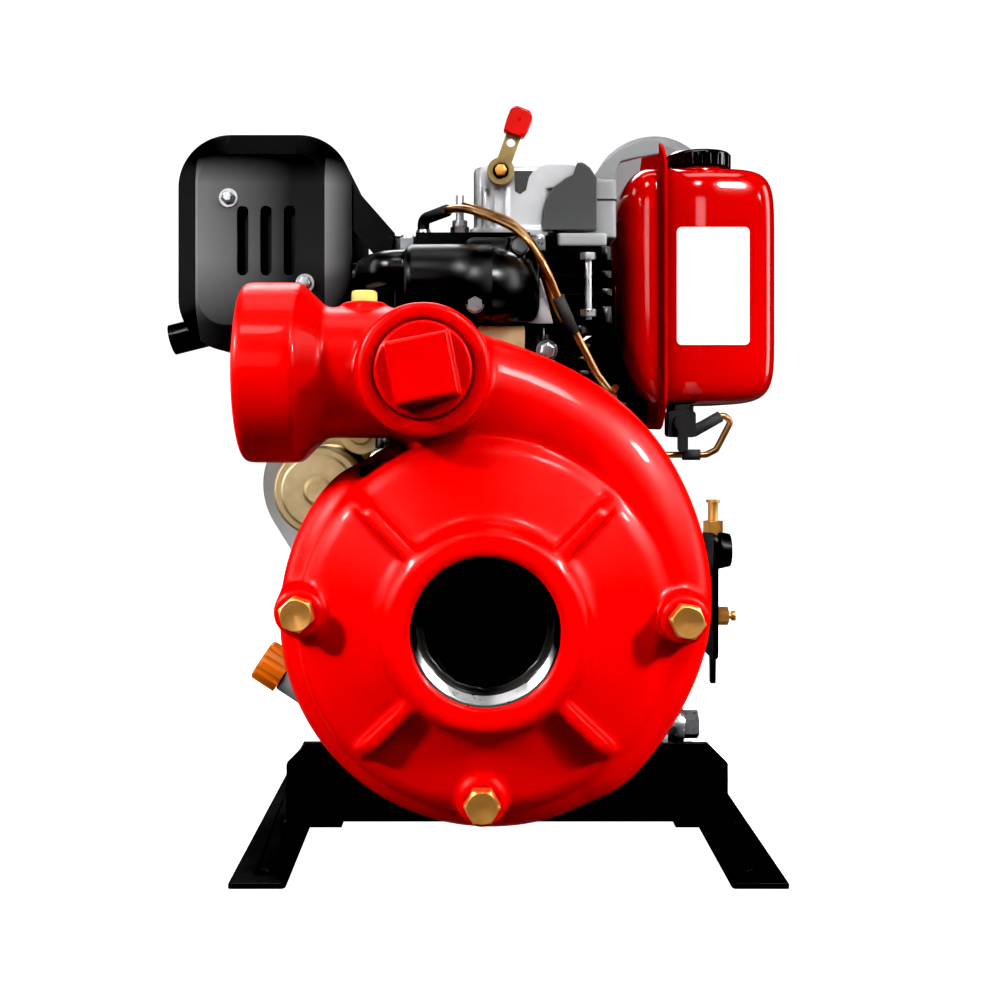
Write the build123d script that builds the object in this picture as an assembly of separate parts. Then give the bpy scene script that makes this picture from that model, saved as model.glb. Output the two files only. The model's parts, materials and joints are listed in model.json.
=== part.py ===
from build123d import *
import math
import os

# Portable diesel fire pump: a cast-iron centrifugal pump end flanged onto an
# air-cooled single-cylinder diesel engine, standing on a folded steel base.
# Millimetres. X is to the right when facing the suction port, Y runs back along
# the shaft from the pump to the recoil starter, and Z is up. The origin is on
# the floor, at the centre of the four foot holes.

# ---------------------------------------------------------------- driving sizes
SHAFT_X = -17.0          # crankshaft and pump axis
SHAFT_Z = 199.0
PORT_FACE_Y = -350.0     # mouth of the suction port
SHAFT_NOSE_Y = -319.5    # front end of the shaft, clear of the port's thread
VOLUTE_Y = -295.0        # mid plane of the volute
CASING_BACK_Y = -262.0   # joint between casing and rear adapter
ENGINE_FACE_Y = -205.0   # joint between adapter and engine
CRANKCASE_FRONT_Y = -180.0
CRANKCASE_BACK_Y = 60.0
CYLINDER_Y = -60.0       # cylinder axis
BORE_R = 43.0            # 86 mm bore
STROKE = 70.0
PORT_R = 42.5            # minor radius of a 3 inch pipe thread
OUTLET_Z = SHAFT_Z + 150.5
OUTLET_FACE_X = -163.5
BRANCH_X = SHAFT_X - 35.7
TRAY_TOP_Z = 50.0
ENGINE_BASE_Z = 66.0
RAIL_HALF_LENGTH = 200.0
FOOT_HOLE_X = 172.0
FOOT_HOLE_Y = 178.0
FOOT_HOLE_R = 5.25
CYLINDER_BASE_Z = 300.0
DECK_Z = 392.0
HEAD_TOP_Z = 458.0
ROCKER_TOP_Z = 513.0
RUNNING_GAP = 0.06       # radial clearance of a turning fit
HEX_19 = 18.6            # head of a plug on the cover, across flats
HEX_16 = 15.5            # head of the priming plug


# --------------------------------------------------------------------- helpers
def block(x0, x1, y0, y1, z0, z1, r=0.0, axis=None):
    """A box between two corners; r rounds its edges, or only those along axis."""
    body = Pos((x0 + x1) / 2, (y0 + y1) / 2, (z0 + z1) / 2) * Box(x1 - x0, y1 - y0, z1 - z0)
    if r:
        body = fillet(body.edges().filter_by(axis) if axis else body.edges(), r)
    return body


def rod(start, end, r, r_end=None):
    """A cylinder or cone between two points."""
    a, b = Vector(*start), Vector(*end)
    plane = Plane(origin=a, z_dir=(b - a).normalized())
    length = (b - a).length
    if r_end is None:
        return plane * Pos(0, 0, length / 2) * Cylinder(r, length)
    return plane * Pos(0, 0, length / 2) * Cone(r, r_end, length)


def rod_y(x, z, y0, y1, r, r_end=None):
    return rod((x, y0, z), (x, y1, z), r, r_end)


def rod_z(x, y, z0, z1, r, r_end=None):
    return rod((x, y, z0), (x, y, z1), r, r_end)


def hexagon(start, direction, af, height, turn=0.0):
    """A hexagonal prism, with chamfered outer corners, growing along direction."""
    plane = Plane(origin=start, z_dir=direction)
    prism = extrude(RegularPolygon(af / 2, 6, major_radius=False, rotation=turn), height)
    dome = Pos(0, 0, height / 2 - af * 0.16) * Cylinder(af * 0.7, height + af * 0.32)
    dome = chamfer(dome.edges().group_by(Axis.Z)[-1], af * 0.16, af * 0.135)
    dome = dome & Pos(0, 0, height / 2) * Box(af * 2, af * 2, height)
    return plane * (prism & dome)


def bolt(seat, direction, d, shank, washer=True):
    """A hex bolt: seat is under the head, direction points out of the head."""
    plane = Plane(origin=seat, z_dir=direction)
    lift = d * 0.18 if washer else 0.0
    head = hexagon((0, 0, lift), (0, 0, 1), d * 1.6, d * 0.66)
    body = head + Pos(0, 0, -shank / 2) * Cylinder(d / 2, shank)
    if washer:
        body += Pos(0, 0, lift / 2) * Cylinder(d * 1.05, lift)
    return plane * body


def pipe(points, r, bend, wall=None):
    """A round bar or tube swept along a line with rounded corners."""
    path = FilletPolyline(*points, radius=bend)
    start = Plane(origin=path @ 0, z_dir=path % 0)
    body = sweep(start * Circle(r), path=path)
    if wall:
        body -= sweep(start * Circle(r - wall), path=path)
    return body


def ring_y(x, z, y0, y1, r_out, r_in):
    return rod_y(x, z, y0, y1, r_out) - rod_y(x, z, y0 - 1, y1 + 1, r_in)


def turned(points, x=SHAFT_X, z=SHAFT_Z):
    """A solid of revolution about an axis along Y, from (radius, y) points."""
    profile = make_face(Polyline(*[(r, y) for r, y in points], close=True))
    return Pos(x, 0, z) * revolve(profile, Axis.Y)


def polar(radius, degrees, y, x=SHAFT_X, z=SHAFT_Z):
    """A point round an axis along Y; 0 degrees is +X and 90 degrees is +Z."""
    a = math.radians(degrees)
    return (x + radius * math.cos(a), y, z + radius * math.sin(a))


def together(pieces):
    """Separate solids kept apart in one node."""
    return Compound(children=[solid for piece in pieces for solid in piece.solids()])


# ---------------------------------------------------------------- the pump end
VOLUTE_START, VOLUTE_END = 120.0, 450.0    # degrees round the shaft
VOLUTE_SPLIT = 300.0                       # where the two stretches of duct meet


def volute_station(degrees, wall):
    """Centre, direction and section half-axes of the spiral duct."""
    t = (degrees - VOLUTE_START) / (VOLUTE_END - VOLUTE_START)

    def centre(deg):
        u = (deg - VOLUTE_START) / (VOLUTE_END - VOLUTE_START)
        outer = 124.0 + 48.0 * u ** 4 + 4.0 * (1.0 - u) ** 6
        return Vector(*polar(outer - (20.0 + 20.0 * u ** 1.5), deg, VOLUTE_Y))

    direction = (centre(degrees + 0.5) - centre(degrees - 0.4)).normalized()
    radial = 20.0 + 20.0 * t ** 1.5 - wall
    axial = 20.0 + 7.0 * t - wall
    return centre(degrees), direction, radial, axial


def duct_section(centre, direction, radial, axial):
    plane = Plane(origin=centre, x_dir=(0, 1, 0), z_dir=direction)
    return plane * Ellipse(axial, radial)


def spiral_duct(wall):
    """The duct from the tongue round to the branch pipe, inset by wall, in two stretches."""
    def sections(start, end, count):
        angles = [start + (end - start) * i / (count - 1) for i in range(count)]
        return [duct_section(*volute_station(degrees, wall)) for degrees in angles]

    rise = Vector(-0.95, 0, 0.31)
    mid = Vector(SHAFT_X - 27.0, VOLUTE_Y, SHAFT_Z + 140.5)
    end = Vector(SHAFT_X - 58.0, VOLUTE_Y, OUTLET_Z)
    branch = [
        duct_section(mid, rise, 40.0 - wall, 33.5 - wall),
        duct_section(end, Vector(-1, 0, 0), 40.0 - wall, 39.9 - wall)]
    lower = loft(sections(VOLUTE_START, VOLUTE_SPLIT, 8))
    upper = loft(sections(VOLUTE_SPLIT, VOLUTE_END, 7) + branch)
    return [lower, upper]


PLUG_SPOTS = [(109.6, 175.2), (101.6, 268.9), (116.9, 2.5)]   # radius, degrees
PLUG_SEAT_Y = -334.0
PRIMING_X = SHAFT_X - 73.8
CASING_BOLT_R = 111.0


def casing_bolt_angles():
    return [22.5 + 45.0 * i for i in range(8)]


def volute_casing():
    """Cast-iron casing: suction port, ribbed cover, spiral duct, tee and outlet."""
    front = turned([
        (0, PORT_FACE_Y), (56, PORT_FACE_Y), (60, PORT_FACE_Y + 4), (61.5, -341), (66, -337.5),
        (104, -325.5), (110, -321), (113, -314), (114, -300), (114, -285), (121, -285),
        (121, CASING_BACK_Y), (0, CASING_BACK_Y)])
    # branch pipe, outlet socket and second outlet
    axis_y = VOLUTE_Y
    socket = rod((-128.0, axis_y, OUTLET_Z), (OUTLET_FACE_X, axis_y, OUTLET_Z), 55.0)
    socket = chamfer(socket.edges().filter_by(GeomType.CIRCLE).sort_by(Axis.X)[0], 2.5)
    boss = rod_y(BRANCH_X, OUTLET_Z, PORT_FACE_Y, axis_y, 39.0)
    boss = chamfer(boss.edges().filter_by(GeomType.CIRCLE).sort_by(Axis.Y)[0], 2.0)
    metal = [
        *spiral_duct(0.0), socket, boss,
        rod((SHAFT_X - 56.0, axis_y, OUTLET_Z), (-113.5, axis_y, OUTLET_Z), 40.0),
        rod((-113.0, axis_y, OUTLET_Z), (-128.5, axis_y, OUTLET_Z), 40.0, 55.0),
        rod_z(PRIMING_X, axis_y, OUTLET_Z + 10, OUTLET_Z + 43.5, 14.5, 13.5)]
    # stiffening ribs on the cover
    rib = make_face(Polyline((50, -346), (63, -346), (97, -338.5), (107, -325), (107, -305),
                             (50, -305), close=True))
    rib = extrude(rib, 4.5, both=True)
    for degrees in (45, 135, 225, 315):
        metal.append(Pos(SHAFT_X, 0, SHAFT_Z) * Rot(0, -degrees, 0) * rib)
    for radius, degrees in PLUG_SPOTS:
        x, _, z = polar(radius, degrees, 0)
        metal.append(rod_y(x, z, PLUG_SEAT_Y, -298, 14.5, 17.5))
    # water passages and threaded holes
    passages = [
        *spiral_duct(7.0),
        rod_y(SHAFT_X, SHAFT_Z, -318, CASING_BACK_Y + 1, 97.0),
        rod_y(SHAFT_X, SHAFT_Z, PORT_FACE_Y - 1, -317, 36.0),
        rod_y(SHAFT_X, SHAFT_Z, PORT_FACE_Y - 1, PORT_FACE_Y + 30, PORT_R),
        rod_y(SHAFT_X, SHAFT_Z, PORT_FACE_Y - 1, PORT_FACE_Y + 2.5, PORT_R + 3.5, PORT_R),
        rod((SHAFT_X - 56.5, axis_y, OUTLET_Z), (-140.0, axis_y, OUTLET_Z), 32.5),
        rod((OUTLET_FACE_X - 1, axis_y, OUTLET_Z), (-132.0, axis_y, OUTLET_Z), PORT_R),
        rod_y(BRANCH_X, OUTLET_Z, PORT_FACE_Y - 1, axis_y, 28.5),
        rod_z(PRIMING_X, axis_y, OUTLET_Z + 20, OUTLET_Z + 45, 6.6)]
    for radius, degrees in PLUG_SPOTS:
        x, _, z = polar(radius, degrees, 0)
        passages.append(rod_y(x, z, PLUG_SEAT_Y - 1, -312, 6.6))
    for degrees in casing_bolt_angles():
        x, _, z = polar(CASING_BOLT_R, degrees, 0)
        passages.append(rod_y(x, z, -276, CASING_BACK_Y + 1, 4.0))
    return front.fuse(*metal).cut(*passages)


def outlet_plug():
    """Square-headed 2 inch plug that closes the second outlet."""
    plug = rod_y(BRANCH_X, OUTLET_Z, PORT_FACE_Y - 1.5, PORT_FACE_Y + 16, 28.5)
    plug = chamfer(plug.edges().filter_by(GeomType.CIRCLE).sort_by(Axis.Y)[0], 1.5)
    head = Box(36.5, 22, 36.5)
    head = chamfer(head.edges().group_by(Axis.Y)[0], 1.6)
    head = fillet(head.edges().filter_by(Axis.Y), 1.2)
    return plug + Pos(BRANCH_X, PORT_FACE_Y - 9.0, OUTLET_Z) * Rot(0, -11, 0) * head


def brass_plug(seat, direction, across, height, turn=0.0):
    """Brass hexagon plug with a threaded stub."""
    plane = Plane(origin=seat, z_dir=direction)
    head = hexagon((0, 0, 0), (0, 0, 1), across, height, turn)
    return plane * (head + Pos(0, 0, -6) * Cylinder(6.5, 12))


def brass_plugs():
    """Three plugs on the cover, and the priming plug on top of the branch pipe."""
    turns = (8.0, 20.0, 12.0)
    plugs = [brass_plug((PRIMING_X, VOLUTE_Y, OUTLET_Z + 43.5), (0, 0, 1), HEX_16, 6.4, 10.0)]
    for (radius, degrees), turn in zip(PLUG_SPOTS, turns):
        plugs.append(brass_plug(polar(radius, degrees, PLUG_SEAT_Y), (0, -1, 0), HEX_19, 10.0, turn))
    return together(plugs)


def impeller():
    """Closed impeller with six swept-back vanes."""
    body = turned([(14.6, -270), (14.6, -310), (20, -310), (26, -285), (91, -280), (91, -275),
                   (24, -273), (24, -270)])
    shroud = turned([(35.4, -316), (39.5, -316), (42, -306), (91, -297), (91, -293),
                     (40, -300), (35.4, -304)])
    vane = Spline((23, 0), (45, 10), (66, 30), (79, 44))
    blade = trace(vane, 4.0)
    blade = extrude(blade, 22)
    for i in range(6):
        body += Pos(SHAFT_X, -278, SHAFT_Z) * Rot(0, 60 * i, 0) * Rot(90, 0, 0) * blade
    return body + shroud


def impeller_nut():
    nut = rod_y(SHAFT_X, SHAFT_Z, -312, -310, 17.0)
    nut += hexagon((SHAFT_X, -312, SHAFT_Z), (0, -1, 0), 22.0, 7.0)
    return nut - rod_y(SHAFT_X, SHAFT_Z, SHAFT_NOSE_Y - 1, -309, 8.0)


def casing_gasket():
    return ring_y(SHAFT_X, SHAFT_Z, CASING_BACK_Y, CASING_BACK_Y + 1.0, 104.0, 97.5)


def rear_adapter():
    """Back plate of the pump and the bell that carries it on the engine."""
    y0, y1 = CASING_BACK_Y, ENGINE_FACE_Y
    body = turned([(0, y0), (121, y0), (121, y0 + 12), (92, y0 + 12), (76, y0 + 24), (76, y1 - 9),
                   (88, y1 - 9), (88, y1), (0, y1)])
    body -= turned([(0, y0 + 13), (68, y0 + 13), (68, y1 + 1), (0, y1 + 1)])
    body -= rod_y(SHAFT_X, SHAFT_Z, y0 - 1, y0 + 14, 20.0)
    body -= ring_y(SHAFT_X, SHAFT_Z, y0 - 1, y0 + 1.0, 104.1, 97.4)
    for degrees in (0, 180):
        window = Pos(0, y1 - 21, 0) * Box(60, 20, 62)
        window = fillet(window.edges().filter_by(Axis.X), 8)
        x, _, z = polar(75, degrees, 0)
        body -= Pos(x, 0, z) * window
    for degrees in casing_bolt_angles():
        x, _, z = polar(CASING_BOLT_R, degrees, 0)
        body -= rod_y(x, z, y0 - 1, y0 + 13, 5.2)
    for degrees in (45, 135, 225, 315):
        x, _, z = polar(80, degrees, 0)
        body += rod_y(x, z, y1 - 9, y1, 11.0)
        body -= rod_y(x, z, y1 - 30, y1 - 9, 11.5)
        body -= rod_y(x, z, y1 - 10, y1 + 1, 5.2)
    return body


def casing_bolts():
    seat = CASING_BACK_Y + 12
    bolts = []
    for degrees in casing_bolt_angles():
        bolts.append(bolt(polar(CASING_BOLT_R, degrees, seat), (0, 1, 0), 8.0, 25.0))
    return together(bolts)


def adapter_bolts():
    seat = ENGINE_FACE_Y - 9
    bolts = []
    for degrees in (45, 135, 225, 315):
        bolts.append(bolt(polar(80, degrees, seat), (0, -1, 0), 10.0, 26.0))
    return together(bolts)


def seal_seat():
    """Stationary face of the shaft seal, pressed into the adapter."""
    y0 = CASING_BACK_Y
    return ring_y(SHAFT_X, SHAFT_Z, y0 + 1, y0 + 9, 20.0, 15.2)


def seal_head():
    """Turning face of the shaft seal with its spring cage."""
    y0 = CASING_BACK_Y
    body = ring_y(SHAFT_X, SHAFT_Z, y0 - 7, y0 + 0.9, 19.0, 14.6)
    return body + ring_y(SHAFT_X, SHAFT_Z, y0 - 8, y0 - 6.5, 21.5, 14.6)


# ------------------------------------------------------------------- the base
RAIL_WEB_X = 152.0
RAIL_INNER_X = 114.0
RAIL_OUTER_X = 192.0
STEEL = 4.0
PLATE_TOP_Z = 100.0
MOUNT_SPOTS = [(-129.0, -150.0), (123.0, -150.0), (-129.0, 30.0), (123.0, 30.0)]
LUG_TOP_Z = 78.0


def base_rails():
    """Two folded Z-section foot rails, with a hole at each end of each foot."""
    web, rail_top = RAIL_WEB_X, TRAY_TOP_Z - STEEL
    profile = make_face(Polyline(
        (web, 0), (RAIL_OUTER_X, 0), (RAIL_OUTER_X, STEEL), (web + STEEL, STEEL),
        (web + STEEL, rail_top), (RAIL_INNER_X, rail_top), (RAIL_INNER_X, rail_top - STEEL),
        (web, rail_top - STEEL), close=True))
    bends = [v for v in profile.vertices() if abs(v.X - web) < 5 and (v.Y < 1 or v.Y > rail_top - 1)]
    profile = fillet(bends, 3.0)
    rail = Rot(90, 0, 0) * extrude(profile, RAIL_HALF_LENGTH, both=True)
    for y in (-FOOT_HOLE_Y, FOOT_HOLE_Y):
        rail -= rod_z(FOOT_HOLE_X, y, -1, STEEL + 1, FOOT_HOLE_R)
    right, left = rail, mirror(rail, about=Plane.YZ)
    for x, y in MOUNT_SPOTS:
        hole = rod_z(x, y, rail_top - STEEL - 1, rail_top + 1, 5.4)
        right, left = (right - hole, left) if x > 0 else (right, left - hole)
    return together([right, left])


def engine_tray():
    """Folded tray under the engine, with its upright front plate."""
    x0, x1, y0, y1 = -152.0, 150.0, -RAIL_HALF_LENGTH, RAIL_HALF_LENGTH
    floor = block(x0, x1, y0, y1, TRAY_TOP_Z - STEEL, TRAY_TOP_Z)
    front = block(x0, x1, y0, y0 + STEEL, TRAY_TOP_Z - STEEL, PLATE_TOP_Z)
    corners = front.edges().filter_by(Axis.Y).group_by(Axis.Z)[-1]
    front = chamfer(corners, 14.0)
    back = block(x0, x1, y1 - STEEL, y1, TRAY_TOP_Z - STEEL, TRAY_TOP_Z + 14)
    tray = floor + front + back
    tray -= block(-70, 70, -150, 20, TRAY_TOP_Z - STEEL - 1, TRAY_TOP_Z + 1, 20, Axis.Z)
    for x, y in MOUNT_SPOTS:
        tray -= rod_z(x, y, TRAY_TOP_Z - STEEL - 1, TRAY_TOP_Z + 1, 5.4)
    return tray


def rubber_mounts():
    mounts = []
    for x, y in MOUNT_SPOTS:
        mount = rod_z(x, y, TRAY_TOP_Z, ENGINE_BASE_Z, 17.0)
        mount = chamfer(mount.edges().filter_by(GeomType.CIRCLE), 1.5)
        mounts.append(mount - rod_z(x, y, TRAY_TOP_Z - 1, ENGINE_BASE_Z + 1, 5.4))
    return together(mounts)


def frame_bolts():
    """Four long bolts with nuts that clamp engine, mounts, tray and rails."""
    rail_under = TRAY_TOP_Z - 2 * STEEL
    bolts = []
    for x, y in MOUNT_SPOTS:
        body = bolt((x, y, LUG_TOP_Z), (0, 0, 1), 10.0, LUG_TOP_Z - rail_under + 10)
        body += hexagon((x, y, rail_under), (0, 0, -1), 16.0, 8.0)
        bolts.append(body)
    return together(bolts)


# ----------------------------------------------------------------- the engine
CAM_R, CAM_DEGREES = 75.0, -55.0           # camshaft centre from the crankshaft
CAM_X = SHAFT_X + CAM_R * math.cos(math.radians(CAM_DEGREES))
CAM_Z = SHAFT_Z + CAM_R * math.sin(math.radians(CAM_DEGREES))
GEAR_MODULE = 2.0
CRANK_TEETH, CAM_TEETH = 25, 50
GEAR_Y0, GEAR_Y1 = -150.0, -138.0
JOURNAL_R = 17.5
BEARING_R = 36.0
CRANKPIN_R = 18.0
CRANKPIN_Z = SHAFT_Z + STROKE / 2
WEB_R = 62.0
PISTON_PIN_Z = 352.0
PUSHROD_YS = (-104.0, -16.0)
VALVE_X, VALVE_YS = -2.0, (-84.0, -36.0)
STUD_SPOTS = [(-73.0, -127.0), (-73.0, 6.0), (24.0, -127.0), (34.0, 6.0)]
HEAD_X0, HEAD_X1 = -84.0, 78.0
STEP_X, STEP_Z = 36.6, 448.0               # lower right shelf of the head
ARM_Z = HEAD_TOP_Z + 19.0                  # underside of the rocker arms
NUT_SEAT_Z = HEAD_TOP_Z - 13.0             # pockets that hold the head nuts
INJECTOR_X = -35.0
OIL_Y = -40.0
NECK_START = (-104.0, OIL_Y, 70.0)
NECK_END = (-176.0, OIL_Y, 117.0)
PUMP_X, PUMP_Y = 86.0, -66.0
STARTER_X, STARTER_Z = -148.0, 264.0
SOLENOID_X, SOLENOID_Z = -117.0, 310.0


def gear(x, z, teeth, phase, bore):
    """Spur gear about an axis along Y; one tooth points along phase degrees."""
    r = GEAR_MODULE * teeth / 2
    pitch = 360.0 / teeth
    points = []
    for i in range(teeth):
        for offset, radius in ((-0.27, r - 2.4), (-0.10, r + 1.6), (0.10, r + 1.6), (0.27, r - 2.4)):
            a = math.radians(phase + (i + offset) * pitch)
            points.append((x + radius * math.cos(a), z + radius * math.sin(a)))
    face = make_face(Polyline(*points, close=True))
    blank = Pos(0, GEAR_Y1, 0) * Rot(90, 0, 0) * extrude(face, GEAR_Y1 - GEAR_Y0)
    return blank - rod_y(x, z, GEAR_Y0 - 1, GEAR_Y1 + 1, bore)


def crankcase():
    """Aluminium crankcase: shell, feet, oil neck and the pump pad."""
    y0, y1 = CRANKCASE_FRONT_Y, CRANKCASE_BACK_Y
    outline = [(-108, ENGINE_BASE_Z), (112, ENGINE_BASE_Z), (112, 205), (84, CYLINDER_BASE_Z),
               (-96, CYLINDER_BASE_Z), (-108, 236)]
    inside = [(-101, 73), (105, 73), (105, 204), (78, 293), (-90, 293), (-101, 235)]

    def prism(points, start, end):
        face = make_face(Polyline(*points, close=True))
        return Pos(0, end, 0) * Rot(90, 0, 0) * extrude(face, end - start)

    body = prism(outline, y0, y1)
    body = fillet(body.edges().filter_by(Axis.Y), 5.0)
    opening = [(-84, 110), (96, 110), (96, 250), (-84, 250)]
    body -= prism(inside, y0 + 7, y1 - 7)
    body -= prism(opening, y0 - 1, y0 + 8)
    extras = [
        rod_y(SHAFT_X, SHAFT_Z, y1 - 24, y1, 44.0),
        rod_y(CAM_X, CAM_Z, y1 - 20, y1 - 6, 18.0),
        rod(NECK_START, NECK_END, 14.0),
        rod((111, OIL_Y, 76), (124, OIL_Y, 76), 12.0),
        block(68, 106, -88, -44, 236, CYLINDER_BASE_Z)]
    for x, y in MOUNT_SPOTS:
        inner = -106 if x < 0 else 110
        outer = x - 16 if x < 0 else x + 13
        extras.append(block(min(inner, outer), max(inner, outer), y - 20, y + 20,
                            ENGINE_BASE_Z, LUG_TOP_Z, 4, Axis.Z))
    holes = [
        rod_y(SHAFT_X, SHAFT_Z, y1 - 19, y1 - 2, BEARING_R),
        rod_y(SHAFT_X, SHAFT_Z, y1 - 25, y1 + 1, JOURNAL_R + 0.5),
        rod_y(CAM_X, CAM_Z, y1 - 21, y1 - 7, 9.0 + RUNNING_GAP),
        rod_z(SHAFT_X, CYLINDER_Y, 290, CYLINDER_BASE_Z + 1, 50.0),
        rod(NECK_START, NECK_END, 9.0),
        block(-130, -90, OIL_Y - 20, OIL_Y + 20, 50, ENGINE_BASE_Z)]
    for x, y in STUD_SPOTS:
        holes.append(rod_z(x, y, 286, CYLINDER_BASE_Z + 1, 5.0))
    for y in PUSHROD_YS:
        holes.append(rod_z(CAM_X, y, 280, CYLINDER_BASE_Z + 1, 6.0))
    for x, y in MOUNT_SPOTS:
        holes.append(rod_z(x, y, ENGINE_BASE_Z - 1, LUG_TOP_Z + 1, 5.4))
    return body.fuse(*extras).cut(*holes)


def cover_bolt_spots():
    xs = (-88.0, -30.0, 40.0, 92.0)
    return [(x, z) for z in (112.0, 282.0) for x in xs]


def timing_cover():
    """Front cover of the crankcase, which also carries the pump adapter."""
    y0, y1 = ENGINE_FACE_Y, CRANKCASE_FRONT_Y
    flange = block(-98, 102, y1 - 9, y1, 103, 292, 10, Axis.Y)
    dome = block(-86, 90, y0, y1 - 8, 107, 287, 22, Axis.Y)
    holes = [
        rod_y(SHAFT_X, SHAFT_Z, y0 - 1, y1 + 1, JOURNAL_R + 0.5),
        rod_y(SHAFT_X, SHAFT_Z, y0 + 10, y1 + 1, BEARING_R),
        rod_y(CAM_X, CAM_Z, y1 - 11, y1 + 1, 9.0 + RUNNING_GAP)]
    for degrees in (45, 135, 225, 315):
        x, _, z = polar(80, degrees, 0)
        holes.append(rod_y(x, z, y0 - 1, y1 - 7, 5.0))
    for x, z in cover_bolt_spots():
        holes.append(rod_y(x, z, y0 - 1, y1 - 9, 9.0))
        holes.append(rod_y(x, z, y0 - 1, y1 + 1, 3.2))
    return (flange + dome).cut(*holes)


def crankshaft():
    """Crankshaft with its timing gear; the front end is the pump shaft."""
    r = JOURNAL_R - RUNNING_GAP
    parts = [
        rod_y(SHAFT_X, SHAFT_Z, SHAFT_NOSE_Y, -309, 7.94),
        rod_y(SHAFT_X, SHAFT_Z, -310, -204, 14.5),
        rod_y(SHAFT_X, SHAFT_Z, -204, -79, r),
        rod_y(SHAFT_X, SHAFT_Z, -41, 59, r),
        rod_y(SHAFT_X, SHAFT_Z, 58, 118, 15.0),
        rod_y(SHAFT_X, CRANKPIN_Z, -71, -49, CRANKPIN_R),
        gear(SHAFT_X, SHAFT_Z, CRANK_TEETH, CAM_DEGREES, r - 1)]
    cheek = rod_y(SHAFT_X, SHAFT_Z, -80, -70, WEB_R)
    cheek = cheek & block(SHAFT_X - 34, SHAFT_X + 34, -81, -69, SHAFT_Z - 70, SHAFT_Z + 70)
    parts += [cheek, Pos(0, 30, 0) * cheek]
    return parts[0].fuse(*parts[1:])


def main_bearings():
    """Front and rear ball bearings, each drawn as one ring with its seals."""
    rings = []
    for y in (-195.0, CRANKCASE_BACK_Y - 19):
        ring = ring_y(SHAFT_X, SHAFT_Z, y, y + 17, BEARING_R, JOURNAL_R)
        for face in (y, y + 17):
            ring -= ring_y(SHAFT_X, SHAFT_Z, face - 1.2, face + 1.2, 30.0, 23.0)
        rings.append(ring)
    return together(rings)


def rod_big_end():
    return ring_y(SHAFT_X, CRANKPIN_Z, -69.4, -50.6, 27.0, CRANKPIN_R + RUNNING_GAP)


def connecting_rod():
    small_end = rod_y(SHAFT_X, PISTON_PIN_Z, CYLINDER_Y - 11, CYLINDER_Y + 11, 17.0)
    beam = block(SHAFT_X - 11, SHAFT_X + 11, CYLINDER_Y - 7, CYLINDER_Y + 7, 263, PISTON_PIN_Z)
    for side in (-1, 1):
        y = CYLINDER_Y + side * 7
        beam -= block(SHAFT_X - 6, SHAFT_X + 6, y - 3.5, y + 3.5, 274, PISTON_PIN_Z - 20)
    body = small_end + beam
    return body - rod_y(SHAFT_X, PISTON_PIN_Z, -80, -40, 11.0 + RUNNING_GAP)


def piston():
    """Piston with ring grooves, and its gudgeon pin as a second solid."""
    x, y = SHAFT_X, CYLINDER_Y
    body = rod_z(x, y, 308, 388, BORE_R - 0.1)
    body -= rod_z(x, y, 307, 376, 36.0)
    for z in (378.0, 371.0, 364.0):
        body -= rod_z(x, y, z, z + 2.5, BORE_R + 1) - rod_z(x, y, z - 1, z + 3.5, BORE_R - 3)
    for side in (-1, 1):
        boss = rod_y(x, PISTON_PIN_Z, y + side * 13, y + side * 38, 16.0)
        body += boss & rod_z(x, y, 320, 380, BORE_R - 4)
    body -= rod_y(x, PISTON_PIN_Z, y - 50, y + 50, 11.0)
    pin = ring_y(x, PISTON_PIN_Z, y - 36, y + 36, 11.0, 6.5)
    return together([body, pin])


def camshaft():
    shaft = rod_y(CAM_X, CAM_Z, CRANKCASE_FRONT_Y - 10, CRANKCASE_BACK_Y - 8, 9.0)
    phase = CAM_DEGREES + 180.0 + 180.0 / CAM_TEETH
    shaft += gear(CAM_X, CAM_Z, CAM_TEETH, phase, 8.0)
    for y, degrees in zip(PUSHROD_YS, (200.0, 320.0)):
        nose_x, _, nose_z = polar(7.0, degrees, 0, CAM_X, CAM_Z)
        shaft += rod_y(CAM_X, CAM_Z, y - 4, y + 4, 12.0)
        shaft += rod_y(nose_x, nose_z, y - 4, y + 4, 9.0)
    return shaft


def valve_train():
    """Pushrods on their tappets, valves, and valve springs with their caps."""
    pieces = []
    for y in PUSHROD_YS:
        tappet = rod_z(CAM_X, y, CAM_Z + 17, CAM_Z + 30, 8.0)
        pieces.append(tappet + rod_z(CAM_X, y, CAM_Z + 29, ARM_Z, 3.5))
    for y in VALVE_YS:
        valve = rod_z(VALVE_X, y, DECK_Z, DECK_Z + 3, 12.0)
        valve += rod_z(VALVE_X, y, DECK_Z + 3, DECK_Z + 7, 12.0, 3.5)
        valve += rod_z(VALVE_X, y, DECK_Z + 6, ARM_Z, 3.5)
        coil = sweep(
            Plane(origin=(5.2, 0, 0), z_dir=(0, 1, 0)) * Circle(1.0),
            path=Helix(pitch=3.2, height=11, radius=5.2))
        valve += rod_z(VALVE_X, y, HEAD_TOP_Z + 14, HEAD_TOP_Z + 17, 6.2)
        pieces += [valve, Pos(VALVE_X, y, HEAD_TOP_Z + 1.5) * coil]
    return together(pieces)


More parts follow.
